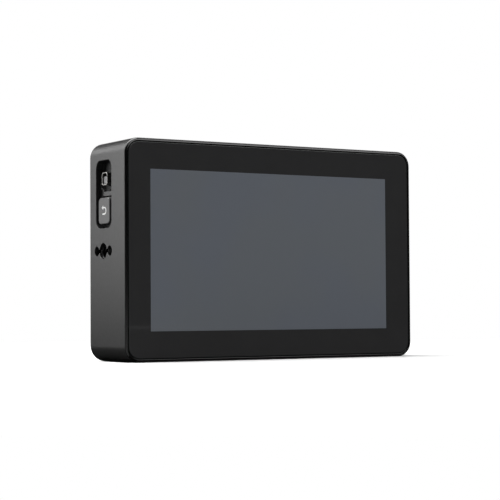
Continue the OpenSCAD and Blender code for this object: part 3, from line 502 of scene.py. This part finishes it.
def thermal_pad_grey():
    """Soft heat-conducting pad."""
    made = Finish((0.33, 0.38, 0.47), 0.75, specular=0.3)
    made.tint(made.noise(0.4, 4), (0.42, 0.47, 0.55))
    return made.relief(made.noise(0.3, 3), 0.02, 0.5)


def moulded_nylon():
    """Ivory nylon of the board's plugs."""
    made = Finish((0.70, 0.66, 0.54), 0.48)
    made.tint(made.noise(1.2, 3), (0.62, 0.58, 0.46))
    return made.relief(made.noise(0.25, 2), 0.006, 0.4)


def amber_film():
    """Polyimide film with copper tracks inside."""
    made = Finish((0.40, 0.17, 0.025), 0.26)
    tracks = made.lines(0.5, "X")
    made.tint(tracks, (0.62, 0.33, 0.10), 0.5, 0.7)
    return made.relief(tracks, 0.015, 0.4)


def clear_sheet():
    """Clear sheet, a little milky where it scatters."""
    made = Finish((0.70, 0.74, 0.77), 0.18)
    made.tint(made.noise(12, 2), (0.76, 0.80, 0.82))
    return made.relief(made.cells(0.3), 0.004, 0.3)


def panel_black():
    """Edge and back of the switched-off panel."""
    made = Finish((0.030, 0.032, 0.036), 0.22)
    made.tint(made.noise(15, 2), (0.042, 0.045, 0.050))
    return made.relief(made.noise(0.3, 2), 0.002, 0.3)


def frosted_pipe():
    """Frosted clear plastic."""
    made = Finish((0.62, 0.68, 0.63), 0.28)
    made.set("Subsurface Weight", 0.3).set("Subsurface Scale", 0.001)
    made.tint(made.noise(0.5, 2), (0.70, 0.76, 0.71))
    return made.relief(made.noise(0.12, 2), 0.004, 0.4)


def gold_flash():
    """Gold-plated contact."""
    made = Finish((0.80, 0.56, 0.23), 0.24, metallic=1.0)
    made.tint(made.noise(0.6, 3), (0.70, 0.47, 0.18))
    return made.relief(made.noise(0.15, 2, (5, 1, 1)), 0.002, 0.4)


def red_silicone():
    """Red wire insulation."""
    made = Finish((0.36, 0.018, 0.016), 0.5)
    made.tint(made.noise(0.9, 2), (0.27, 0.012, 0.012))
    return made.relief(made.noise(0.3, 2), 0.006, 0.4)


def dark_felt():
    """Felt of the studio's flags."""
    made = Finish((0.02, 0.02, 0.02), 0.9, specular=0.1)
    made.tint(made.noise(4, 2), (0.03, 0.03, 0.03))
    return made.relief(made.noise(1, 3), 0.3)


def drawn_wire():
    """Drawn spring wire."""
    made = Finish((0.52, 0.52, 0.53), 0.24, metallic=1.0)
    made.tint(made.noise(0.4, 3), (0.42, 0.42, 0.43))
    return made.relief(made.noise(0.08, 2), 0.002, 0.4)


FINISHES = {}


def finish(make, *looks):
    """The material that a function makes, made once and named after the function."""
    if make not in FINISHES:
        FINISHES[make] = make(*looks).material
        FINISHES[make].name = make.__name__
    return FINISHES[make]


def anodised(make):
    """A finish in the body's look."""
    return finish(make, bpy.context.scene.monitor_body)


# ---- making and dressing pieces ----


def paint(thing, *materials):
    """Give an object these materials in place of those that it has."""
    while len(thing.material_slots) > len(materials):
        thing.data.materials.pop()
    while len(thing.material_slots) < len(materials):
        thing.data.materials.append(None)
    for slot, material in zip(thing.material_slots, materials):
        slot.material = material


def soften_edges(thing, width, clamp=False):
    """Break an object's sharp edges with modifiers, which leave its mesh as it is."""
    weld = thing.modifiers.new("Weld", "WELD")
    weld.merge_threshold = 1e-6
    flat = thing.modifiers.new("Flat Faces", "DECIMATE")
    flat.decimate_type = "DISSOLVE"
    flat.angle_limit = math.radians(0.5)
    edge = thing.modifiers.new("Edge Break", "BEVEL")
    edge.limit_method = "ANGLE"
    edge.angle_limit = math.radians(40)
    edge.width = width
    edge.segments = 3
    edge.use_clamp_overlap = clamp
    edge.harden_normals = True
    thing.modifiers.new("Face Normals", "WEIGHTED_NORMAL")


def dress(nodes, material, edge=0.0, clamp=False):
    """Give CAD nodes a finish and broken edges."""
    for name in nodes.split():
        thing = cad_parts[name]
        paint(thing, material)
        if edge:
            soften_edges(thing, edge, clamp)


def put_in(name, data):
    """An object with this data, put into the scene."""
    made = bpy.data.objects.new(name, data)
    bpy.context.scene.collection.objects.link(made)
    return made


def put_in_mesh(name, mesh):
    """An object made from a bmesh, put into the scene."""
    data = bpy.data.meshes.new(name)
    mesh.to_mesh(data)
    mesh.free()
    return put_in(name, data)


def piece(name, mesh, body, materials, replaces=()):
    """Finish a bmesh as a piece that rides on a body, with the finishes given."""
    bmesh.ops.recalc_face_normals(mesh, faces=mesh.faces)
    made = put_in_mesh(name, mesh)
    paint(made, *materials)
    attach(made, body)
    if replaces:
        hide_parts(*replaces)
    return made


def smooth(made, angle=35, flat=()):
    """Shade a piece smooth, apart from its edges sharper than this angle and its faces in the flat slots."""
    made.data.set_sharp_from_angle(angle=math.radians(angle))
    for face in made.data.polygons:
        face.use_smooth = face.material_index not in flat
    return made


def rounded_outline(width, height, radius, steps):
    """Points round a rectangle with rounded corners, about its middle."""
    points = []
    for quarter in range(4):
        across = (1 if quarter in (0, 3) else -1) * (width / 2 - radius)
        up = (1 if quarter < 2 else -1) * (height / 2 - radius)
        for step in range(steps + 1):
            angle = math.pi / 2 * (quarter + step / steps)
            points.append((across + radius * math.cos(angle), up + radius * math.sin(angle)))
    return points


def circle(radius, count):
    """Points round a circle about the origin."""
    angles = [FULL_TURN * k / count for k in range(count)]
    return [(radius * math.cos(angle), radius * math.sin(angle)) for angle in angles]


def ring(mesh, points):
    """Vertices at these points."""
    return [mesh.verts.new(point) for point in points]


def bridge(mesh, first, second, closed=True, material=0):
    """Faces between two rings or rows of as many vertices."""
    count = len(first)
    for i in range(count if closed else count - 1):
        after = (i + 1) % count
        face = mesh.faces.new((first[i], first[after], second[after], second[i]))
        face.material_index = material


def cap(mesh, vertices, material=0):
    """One face over a ring."""
    mesh.faces.new(vertices).material_index = material


def skin(mesh, rings, material=0):
    """Faces over a row of rings."""
    for before, after in zip(rings, rings[1:]):
        bridge(mesh, before, after, material=material)


def solid_skin(mesh, rings):
    """Faces over a row of rings, closed at both ends."""
    skin(mesh, rings)
    cap(mesh, rings[0])
    cap(mesh, rings[-1])


def heading(path, i):
    """Direction of a path at one of its points."""
    before, after = path[max(i - 1, 0)], path[min(i + 1, len(path) - 1)]
    return (Vector(after) - Vector(before)).normalized()


def block(mesh, lowest, highest, edge=0.0):
    """A block between two corners, with its edges broken."""
    made = bmesh.ops.create_cube(mesh, size=1)["verts"]
    span = Vector(highest) - Vector(lowest)
    centre = (Vector(highest) + Vector(lowest)) / 2
    for vertex in made:
        vertex.co = centre + Vector(c * s for c, s in zip(vertex.co, span))
    if edge:
        edges = {e for vertex in made for e in vertex.link_edges}
        bmesh.ops.bevel(mesh, geom=list(edges), offset=edge, segments=2, profile=0.5, affect="EDGES")


def tube(mesh, path, radius, sides):
    """A round wire along a path of points."""
    rings = []
    for i, point in enumerate(path):
        along = heading(path, i)
        across = along.cross(Vector((0, 1, 0))).normalized()
        up = across.cross(along)
        rings.append(ring(mesh, [Vector(point) + x * across + y * up for x, y in circle(radius, sides)]))
    solid_skin(mesh, rings)


def flat_stroke(mesh, path, width, place, thickness):
    """A flat printed line along a path in a plane. place turns the plane's two axes and a height into a point."""
    rings = []
    for i, point in enumerate(path):
        along = heading(path, i)
        side = Vector((-along.y, along.x)) * width / 2
        left, right = Vector(point) + side, Vector(point) - side
        rings.append(ring(mesh, [place(p.x, p.y, h) for p, h in
                                 ((left, thickness), (right, thickness), (right, 0), (left, 0))]))
    solid_skin(mesh, rings)


def flat_patch(mesh, outline, place, thickness):
    """A flat printed patch inside an outline."""
    over = ring(mesh, [place(x, y, thickness) for x, y in outline])
    under = ring(mesh, [place(x, y, 0) for x, y in outline])
    bridge(mesh, over, under)
    cap(mesh, over)
    cap(mesh, under)


# ---- body and glass ----


class MONITOR_OT_body(Operator):
    """Finish the milled body, with painted shade on its front lip and deep in its side recess"""

    bl_idname = "monitor.body"
    bl_label = "Body"

    def execute(self, context):
        dress("housing", anodised(body_anodising), context.scene.monitor_body.edge)
        return {"FINISHED"}


class MONITOR_OT_glass(Operator):
    """Make the front glass with its printed border and the screen behind it"""

    bl_idname = "monitor.glass"
    bl_label = "Front Glass"

    def execute(self, context):
        look = context.scene.monitor_glass
        first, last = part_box("cover_glass")
        panel_low, panel_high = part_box("display_panel")
        width, height = last.x - first.x, last.z - first.z
        corner, steps = 4.6 * MM, 12
        mesh = bmesh.new()

        def outline(inset, depth):
            """Ring of the glass's outline, drawn in by inset, this deep behind its front."""
            points = rounded_outline(width - 2 * inset, height - 2 * inset, corner - inset, steps)
            return ring(mesh, [(x, first.y + depth, (first.z + last.z) / 2 + z) for x, z in points])

        edge = look.pencil_edge
        thickness = last.y - first.y
        quarter = [math.pi / 2 * k / 4 for k in range(5)]
        rings = [outline(edge * (1 - math.sin(a)), edge * (1 - math.cos(a))) for a in quarter]
        rings += [outline(edge * (1 - math.cos(a)), thickness - edge * (1 - math.sin(a))) for a in quarter]
        skin(mesh, rings, material=2)
        cap(mesh, rings[-1])
        lit_w = panel_high.x - panel_low.x - 2 * look.lit_margin
        lit_h = panel_high.z - panel_low.z - 2 * look.lit_margin
        lit_x = (panel_low.x + panel_high.x) / 2
        lit = ring(mesh, [(lit_x + x, first.y, (panel_low.z + panel_high.z) / 2 + z)
                          for x, z in rounded_outline(lit_w, lit_h, look.lit_corner, steps)])
        bridge(mesh, rings[0], lit)
        cap(mesh, lit, material=1)
        materials = finish(printed_glass, look), finish(screen_glass, look), finish(glass_edge)
        smooth(piece("front_glass", mesh, "monitor", materials, ["cover_glass"]), flat=(0, 1))
        return {"FINISHED"}


class MONITOR_OT_screen_stack(Operator):
    """Finish the layers behind the glass"""

    bl_idname = "monitor.screen_stack"
    bl_label = "Screen Layers"

    def execute(self, context):
        dress("glass_bond", finish(silicone))
        dress("touch_sensor light_guide", finish(clear_sheet), 0.05 * MM)
        dress("display_panel", finish(panel_black), 0.1 * MM)
        dress("led_strip", finish(moulded_nylon), 0.05 * MM)
        dress("backlight_tray", finish(zinc_sheet), 0.12 * MM)
        return {"FINISHED"}


# ---- left side ----


class MONITOR_OT_side_key(Operator):
    """Finish the side key, print its return arrow and make the silicone dome under it"""

    bl_idname = "monitor.side_key"
    bl_label = "Side Key"

    def execute(self, context):
        dress("side_key", anodised(key_lacquer), context.scene.monitor_body.key_edge)
        self.print_arrow(context.scene.monitor_signs)
        self.make_dome()
        return {"FINISHED"}

    def print_arrow(self, look):
        """A line that runs to the front, turns up and comes back to its arrowhead."""
        face_x = low("side_key").x
        centre = Vector((middle("side_key").y, (low("side_key").z + high("side_key").z) / 2))
        half_w, half_h = look.arrow_width / 2, look.arrow_height / 2
        bend = half_h - look.stroke / 2
        head = look.stroke * 1.35
        barb_back, barb_out = 1.9 * head, 1.25 * head

        def place(across, up, height):
            """Across runs to the front of the monitor, seen from its left."""
            return face_x - height, centre.x - across, centre.y + up

        turn = half_w - bend - look.stroke / 2
        before_turn = turn * 0.4
        path = [(-half_w + head, -bend), (before_turn, -bend)]
        path += [(turn + bend * math.sin(a), -bend * math.cos(a)) for a in (math.pi * k / 16 for k in range(17))]
        path += [(before_turn, bend), (-half_w + 1.6 * head, bend)]
        mesh = bmesh.new()
        flat_stroke(mesh, path, look.stroke, place, PRINT_HEIGHT)
        barb_x = -half_w + barb_back
        arrowhead = [(-half_w, bend), (barb_x, bend - barb_out), (barb_x, bend + barb_out)]
        flat_patch(mesh, arrowhead, place, PRINT_HEIGHT)
        piece("return_arrow", mesh, "side_key", [finish(sign_ink, look)])

    def make_dome(self):
        """Silicone ring that the key presses flat."""
        first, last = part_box("side_key_pad")
        centre = middle("side_key_pad")
        outer = (last.y - first.y) / 2
        inner = 1.85 * MM  # clear of the key's stem
        crown = (outer - inner) * 0.18
        profile = [(first.x, inner + crown), (first.x, outer - 3 * crown), ((first.x + last.x) / 2, outer - crown),
                   (last.x, outer), (last.x, inner)]
        mesh = bmesh.new()
        sides = 48
        rings = [ring(mesh, [(x, centre.y + y, centre.z + z) for y, z in circle(radius, sides)])
                 for x, radius in profile]
        skin(mesh, rings + rings[:1])
        made = smooth(piece("key_dome", mesh, "monitor", [finish(silicone)], ["side_key_pad"]))
        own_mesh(made)


class MONITOR_OT_side_socket(Operator):
    """Finish the small socket in the recess and lay its contacts"""

    bl_idname = "monitor.side_socket"
    bl_label = "Side Socket"

    def execute(self, context):
        dress("side_socket_shell", finish(dull_nickel), 0.08 * MM)
        dress("side_socket_core", finish(tongue_grey), 0.12 * MM)
        tongue_front = low("side_socket_core").x
        centre = middle("side_socket_core")
        tongue_top = centre.z + 0.95 * MM
        start, end = tongue_front + 0.4 * MM, tongue_front + 3.6 * MM
        pitch, half, proud = 0.6 * MM, 0.14 * MM, 0.03 * MM
        mesh = bmesh.new()
        for k in range(5):
            y = centre.y + (k - 2) * pitch
            block(mesh, (start, y - half, tongue_top - proud), (end, y + half, tongue_top + proud), 0.02 * MM)
        piece("side_socket_contacts", mesh, "monitor", [finish(gold_flash)])
        return {"FINISHED"}


class MONITOR_OT_camera_mounts(Operator):
    """Make the three threaded inserts of the camera mounts"""

    bl_idname = "monitor.camera_mounts"
    bl_label = "Camera Mounts"

    def execute(self, context):
        look = context.scene.monitor_mounts
        first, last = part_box("thread_inserts")
        length = 6 * MM
        outer = (last.y - first.y) / 2
        mount_y = (first.y + last.y) / 2
        mid_z = (LOWEST.z + HIGHEST.z) / 2
        left = Matrix.Translation((first.x, mount_y, mid_z))
        right = Matrix.Translation((last.x, mount_y, mid_z)) @ Matrix.Rotation(math.pi, 4, "Z")
        bottom = Matrix.Translation((0, mount_y, first.z)) @ Matrix.Rotation(-math.pi / 2, 4, "Y")
        mesh = bmesh.new()
        for place in (left, right, bottom):
            self.insert(mesh, look, place, outer, length)
        steel = [finish(blackened_steel)]
        smooth(piece("mount_threads", mesh, "monitor", steel, ["thread_inserts"]), 30)
        return {"FINISHED"}

    def insert(self, mesh, look, place, outer, length):
        """A sleeve along X with a helical thread inside: the bore's radius rises and falls along the helix."""
        rows_a_turn = 8
        rows = round(length / look.pitch * rows_a_turn)
        flat = 0.12  # share of the pitch that is flat at the crest, and again at the root

        def bore(x, turn):
            """Radius of the thread at a depth and a turn."""
            wave = abs(2 * ((x / look.pitch - turn) % 1) - 1)
            flank = min(max((wave - flat) / (1 - 2 * flat), 0.0), 1.0)
            return look.crest + (look.root - look.crest) * flank

        rings = []
        for row in range(rows + 1):
            x = length * row / rows
            points = []
            for k, (y, z) in enumerate(circle(1, look.steps)):
                radius = look.root if row in (0, rows) else bore(x, k / look.steps)
                points.append(place @ Vector((x, radius * y, radius * z)))
            rings.append(ring(mesh, points))
        for x in (length, 0):
            rings.append(ring(mesh, [place @ Vector((x, y, z)) for y, z in circle(outer, look.steps)]))
        skin(mesh, rings + rings[:1])


# ---- right side, bottom and top ----


class MONITOR_OT_right_sockets(Operator):
    """Finish the sockets of the right side and lay the video sockets' contacts"""

    bl_idname = "monitor.right_sockets"
    bl_label = "Right Sockets"

    def execute(self, context):
        plastic = finish(textured_plastic)
        metal = finish(nickel_plate)
        dress("video_socket_shells", metal, 0.08 * MM)
        dress("video_socket_cores", plastic, 0.08 * MM)
        dress("headphone_jack power_inlet", plastic, 0.15 * MM, clamp=True)
        dress("power_inlet_pin", metal, 0.15 * MM)
        core_low, core_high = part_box("video_socket_cores")
        mid_z = (core_low.z + core_high.z) / 2
        spread, pitch, half = 17.4 * MM, 1 * MM, 0.2 * MM
        start, end = core_high.x - 6 * MM, core_high.x - 0.4 * MM
        under, over = core_low.y + 0.68 * MM, core_low.y + 0.80 * MM
        mesh = bmesh.new()
        for side in (-1, 1):
            for k in range(10):
                z = mid_z + side * spread + (k - 4.5) * pitch
                block(mesh, (start, under, z - half), (end, over, z + half), 0.03 * MM)
        piece("video_contacts", mesh, "monitor", [finish(gold_flash)])
        return {"FINISHED"}


class MONITOR_OT_card_slot(Operator):
    """Finish the card slot"""

    bl_idname = "monitor.card_slot"
    bl_label = "Card Slot"

    def execute(self, context):
        dress("card_slot", finish(nickel_plate), 0.08 * MM)
        return {"FINISHED"}


class MONITOR_OT_top_controls(Operator):
    """Finish the power key and the status light, and print the power sign"""

    bl_idname = "monitor.top_controls"
    bl_label = "Power Key And Light"

    def execute(self, context):
        look = context.scene.monitor_signs
        dress("power_key", anodised(key_lacquer), 0.2 * MM)
        dress("power_switch side_switch", finish(textured_plastic), 0.15 * MM)
        dress("status_light", finish(frosted_pipe), 0.1 * MM)
        top = high("power_key").z
        centre = middle("power_key")

        def place(across, up, height):
            """Up runs to the back of the monitor, seen from above."""
            return centre.x + across, centre.y + up, top + height

        radius, line = 1.05 * MM, look.stroke * 0.6
        gap = math.radians(38)
        arc = [(radius * math.sin(a), radius * math.cos(a))
               for a in (gap + (FULL_TURN - 2 * gap) * k / 32 for k in range(33))]
        mesh = bmesh.new()
        for path in (arc, [(0, 0.1 * MM), (0, radius * 1.25)]):
            flat_stroke(mesh, path, line, place, PRINT_HEIGHT)
        piece("power_sign", mesh, "power_key", [finish(sign_ink, look)])
        return {"FINISHED"}


# ---- back ----


class MONITOR_OT_back(Operator):
    """Finish the back cover, the battery bay and its contacts"""

    bl_idname = "monitor.back"
    bl_label = "Back Cover And Battery Bay"

    def execute(self, context):
        dress("back_cover", anodised(cover_anodising), 0.12 * MM)
        dress("battery_plate", finish(textured_plastic), 0.15 * MM)
        dress("battery_contacts", finish(gold_flash), 0.12 * MM)
        dress("battery_lead", finish(red_silicone))
        return {"FINISHED"}


class MONITOR_OT_battery_latch(Operator):
    """Finish the battery latch and wind its spring"""

    bl_idname = "monitor.battery_latch"
    bl_label = "Battery Latch"

    turns = 5
    wire = 0.25 * MM

    def execute(self, context):
        dress("battery_latch", finish(textured_plastic), 0.2 * MM)
        first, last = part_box("latch_spring")
        centre = middle("latch_spring")
        radius = (last.z - first.z) / 2 - self.wire
        reach = last.y - first.y - 2 * self.wire
        per_turn = 24
        count = self.turns * per_turn
        path = [(centre.x + radius * math.cos(FULL_TURN * k / per_turn), first.y + self.wire + reach * k / count,
                 centre.z + radius * math.sin(FULL_TURN * k / per_turn)) for k in range(count + 1)]
        mesh = bmesh.new()
        tube(mesh, path, self.wire, 10)
        wire = [finish(drawn_wire)]
        made = smooth(piece("latch_coil", mesh, "monitor", wire, ["latch_spring"]), 60)
        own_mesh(made)
        return {"FINISHED"}


class MONITOR_OT_screws(Operator):
    """Finish the screws"""

    bl_idname = "monitor.screws"
    bl_label = "Screws"

    def execute(self, context):
        dress("cover_screws plate_screws", finish(black_screws), 0.08 * MM)
        dress("chassis_screws board_screws side_board_screws", finish(zinc_screws), 0.08 * MM)
        return {"FINISHED"}


class MONITOR_OT_boards(Operator):
    """Finish the inner frame, the boards and what stands on them"""

    bl_idname = "monitor.boards"
    bl_label = "Boards And Inner Frame"

    def execute(self, context):
        dress("chassis_plate heat_spreader", finish(milled_aluminium), 0.12 * MM)
        dress("main_board side_key_board", finish(solder_mask), 0.08 * MM)
        dress("processor memory_chips power_chips", finish(chip_epoxy), 0.1 * MM)
        dress("thermal_pad", finish(thermal_pad_grey), 0.15 * MM)
        dress("board_sockets", finish(moulded_nylon), 0.15 * MM)
        dress("display_flex touch_flex key_flex", finish(amber_film), 0.03 * MM)
        return {"FINISHED"}


# ---- studio ----


# Each lamp's place, and its width and height.
LAMPS = {
    "side_lamp": ((-0.53, 0.51, 0.19), (0.44, 0.30)),
    "shoulder_lamp": ((-0.29, 0.64, 0.41), (0.24, 0.24)),
    "top_lamp": ((-0.10, 0.05, 0.75), (0.50, 0.50)),
    "front_lamp": ((0.35, -0.80, 0.62), (0.90, 0.70)),
    "back_lamp": ((-0.45, 0.45, 0.80), (0.50, 0.50)),
}


class MONITOR_OT_stage(Operator):
    """Set up the floor, the white surround, the soft lamps, the dark flags and mats, and the camera"""

    bl_idname = "monitor.stage"
    bl_label = "Studio"

    def execute(self, context):
        look = context.scene.monitor_stage
        self.lay_floor(look)
        self.light_surround(context.scene, look)
        for name, (place, size) in LAMPS.items():
            self.hang_lamp(name, place, size, getattr(look, name))
        self.stand_flag("back_flag", -55, 100, look.back_flag)
        self.stand_flag("left_flag", -160, -60, look.left_flag)
        self.gloss_only(self.stand_flag("front_flag", 105, 200, look.front_flag))
        left, front = LOWEST.xy
        right, back = HIGHEST.xy
        under = left + look.mat_under
        self.lay_mat("left_mat", (left - look.mat_reach, front), (under, back + look.mat_reach))
        self.lay_mat("back_mat", (under, back), (right + look.mat_reach, back + look.mat_reach))
        self.lay_mat("front_mat", (left, front - look.front_mat_reach), (left + 2 * look.front_mat_reach, front))
        self.set_camera(context.scene, look)
        context.scene.view_settings.view_transform = "Standard"
        return {"FINISHED"}

    def lay_floor(self, look):
        """A wide floor under the monitor."""
        half = 3.0
        mesh = bmesh.new()
        cap(mesh, ring(mesh, [(-half, -half, 0), (half, -half, 0), (half, half, 0), (-half, half, 0)]))
        self.set_down("floor", mesh, self.floor_paper(look))

    def seen_directly(self, tree):
        """1 where the camera, metal or glass looks, and 0 for light that bounces about."""
        path = tree.nodes.new("ShaderNodeLightPath").outputs
        mirrored = calculate(tree, "MAXIMUM", path["Is Glossy Ray"], path["Is Transmission Ray"])
        return calculate(tree, "MAXIMUM", path["Is Camera Ray"], mirrored)

    def floor_paper(self, look):
        """Pale paper that keeps the shadow near the monitor and runs out into plain white further off."""
        made = Finish(look.floor, 0.8, specular=0.1)
        made.material.name = "studio_floor"
        made.tint(made.noise(300, 2), lighter(look.floor, 0.99))
        tree = made.tree
        seen = self.seen_directly(tree)
        bounce = made.node("ShaderNodeBsdfDiffuse", Color=(*look.floor_bounce, 1)).outputs[0]
        paper = made.mixed(tree.nodes["Light Path"].outputs["Is Camera Ray"], bounce, made.surface.outputs[0])
        away = made.node("ShaderNodeVectorMath", Vector=made.place)
        away.operation = "LENGTH"
        far = made.step(away.outputs["Value"], look.floor_near, look.floor_far)
        white = made.node("ShaderNodeEmission", Color=(1, 1, 1, 1), Strength=1.0).outputs[0]
        whole = made.mixed(calculate(tree, "MULTIPLY", far, seen), paper, white)
        tree.links.new(whole, tree.nodes["Material Output"].inputs["Surface"])
        return made.material

    def light_surround(self, scene, look):
        """Even light from all round, which the camera, metal and glass see as plain white."""
        world = bpy.data.worlds.new("studio")
        scene.world = world
        world.use_nodes = True
        tree = world.node_tree
        white = tree.nodes["Background"]
        white.inputs["Color"].default_value = (1, 1, 1, 1)
        seen = self.seen_directly(tree)
        strength = tree.nodes.new("ShaderNodeMapRange")
        strength.inputs["To Min"].default_value = look.surround
        strength.inputs["To Max"].default_value = 1.0
        tree.links.new(seen, strength.inputs["Value"])
        tree.links.new(strength.outputs["Result"], white.inputs["Strength"])

    def hang_lamp(self, name, place, size, power):
        """A soft lamp, this wide and high, that faces the monitor."""
        target = Vector((0, 0, (LOWEST.z + HIGHEST.z) / 2))
        lamp = bpy.data.lights.new(name, "AREA")
        lamp.shape = "RECTANGLE"
        lamp.size, lamp.size_y = size
        lamp.energy = power
        hung = put_in(name, lamp)
        hung.location = place
        hung.rotation_euler = (target - Vector(place)).to_track_quat("-Z", "Y").to_euler()
        hung.visible_camera = False

    def stand_flag(self, name, start, end, height):
        """A curved wall of dark felt, from one bearing to another, for the edges to reflect.

        Bearings are degrees to the right of straight behind the monitor."""
        steps = 12
        distance = 1.3
        bearings = [math.radians(start + (end - start) * k / steps) for k in range(steps + 1)]
        mesh = bmesh.new()
        rows = [ring(mesh, [(distance * math.sin(b), distance * math.cos(b), z) for b in bearings])
                for z in (0, height)]
        bridge(mesh, *rows, closed=False)
        flag = self.set_down(name, mesh, finish(dark_felt))
        flag.visible_camera = False
        return flag

    def lay_mat(self, name, first, last):
        """A dark mat on the floor between two corners."""
        mesh = bmesh.new()
        height = 0.1 * MM
        cap(mesh, ring(mesh, [(first[0], first[1], height), (last[0], first[1], height),
                              (last[0], last[1], height), (first[0], last[1], height)]))
        self.gloss_only(self.set_down(name, mesh, finish(dark_felt)))

    def gloss_only(self, thing):
        """Let a stage piece show only in the gloss of other surfaces."""
        thing.visible_camera = thing.visible_diffuse = thing.visible_shadow = thing.visible_transmission = False

    def set_down(self, name, mesh, material):
        """Put a stage piece into the scene."""
        made = put_in_mesh(name, mesh)
        paint(made, material)
        return made

    def set_camera(self, scene, look):
        """The camera at the picture's angle."""
        forward = Vector((math.cos(look.camera_rise) * math.sin(look.camera_turn),
                          math.cos(look.camera_rise) * math.cos(look.camera_turn), math.sin(look.camera_rise)))
        level = Vector((math.cos(look.camera_turn), -math.sin(look.camera_turn), 0))
        upward = level.cross(forward)
        right = math.cos(look.camera_roll) * level + math.sin(look.camera_roll) * upward
        up = math.cos(look.camera_roll) * upward - math.sin(look.camera_roll) * level
        data = bpy.data.cameras.new("camera")
        data.lens = look.lens
        data.sensor_width = 36
        data.clip_start = 0.01
        camera = put_in("camera", data)
        turned = Matrix((right, up, -forward)).transposed().to_4x4()
        camera.matrix_world = Matrix.Translation(look.camera_place) @ turned
        scene.camera = camera


STEPS = (
    MONITOR_OT_stage,
    MONITOR_OT_body,
    MONITOR_OT_glass,
    MONITOR_OT_screen_stack,
    MONITOR_OT_side_key,
    MONITOR_OT_side_socket,
    MONITOR_OT_camera_mounts,
    MONITOR_OT_right_sockets,
    MONITOR_OT_card_slot,
    MONITOR_OT_top_controls,
    MONITOR_OT_back,
    MONITOR_OT_battery_latch,
    MONITOR_OT_screws,
    MONITOR_OT_boards,
)

LOOKS = {
    "monitor_body": BodyLook,
    "monitor_glass": GlassLook,
    "monitor_signs": SignLook,
    "monitor_mounts": MountLook,
    "monitor_stage": StageLook,
}


class MONITOR_PT_panel(Panel):
    """Sizes, colours and steps of the field monitor"""

    bl_idname = "MONITOR_PT_panel"
    bl_label = "Camera Field Monitor"
    bl_space_type = "VIEW_3D"
    bl_region_type = "UI"
    bl_category = "Monitor"

    def draw(self, context):
        for name, look in LOOKS.items():
            box = self.layout.box()
            box.label(text=look.__doc__)
            for field in look.__annotations__:
                box.prop(getattr(context.scene, name), field)
        for step in STEPS:
            self.layout.operator(step.bl_idname)


def register():
    for made in (*LOOKS.values(), *STEPS, MONITOR_PT_panel):
        bpy.utils.register_class(made)
    for name, look in LOOKS.items():
        setattr(bpy.types.Scene, name, PointerProperty(type=look))


def unregister():
    for name in LOOKS:
        delattr(bpy.types.Scene, name)
    for made in reversed((*LOOKS.values(), *STEPS, MONITOR_PT_panel)):
        bpy.utils.unregister_class(made)


def main():
    """Register and take every step in order."""
    register()
    for step in STEPS:
        group, name = step.bl_idname.split(".")
        getattr(getattr(bpy.ops, group), name)()


if __name__ == "__main__":
    main()
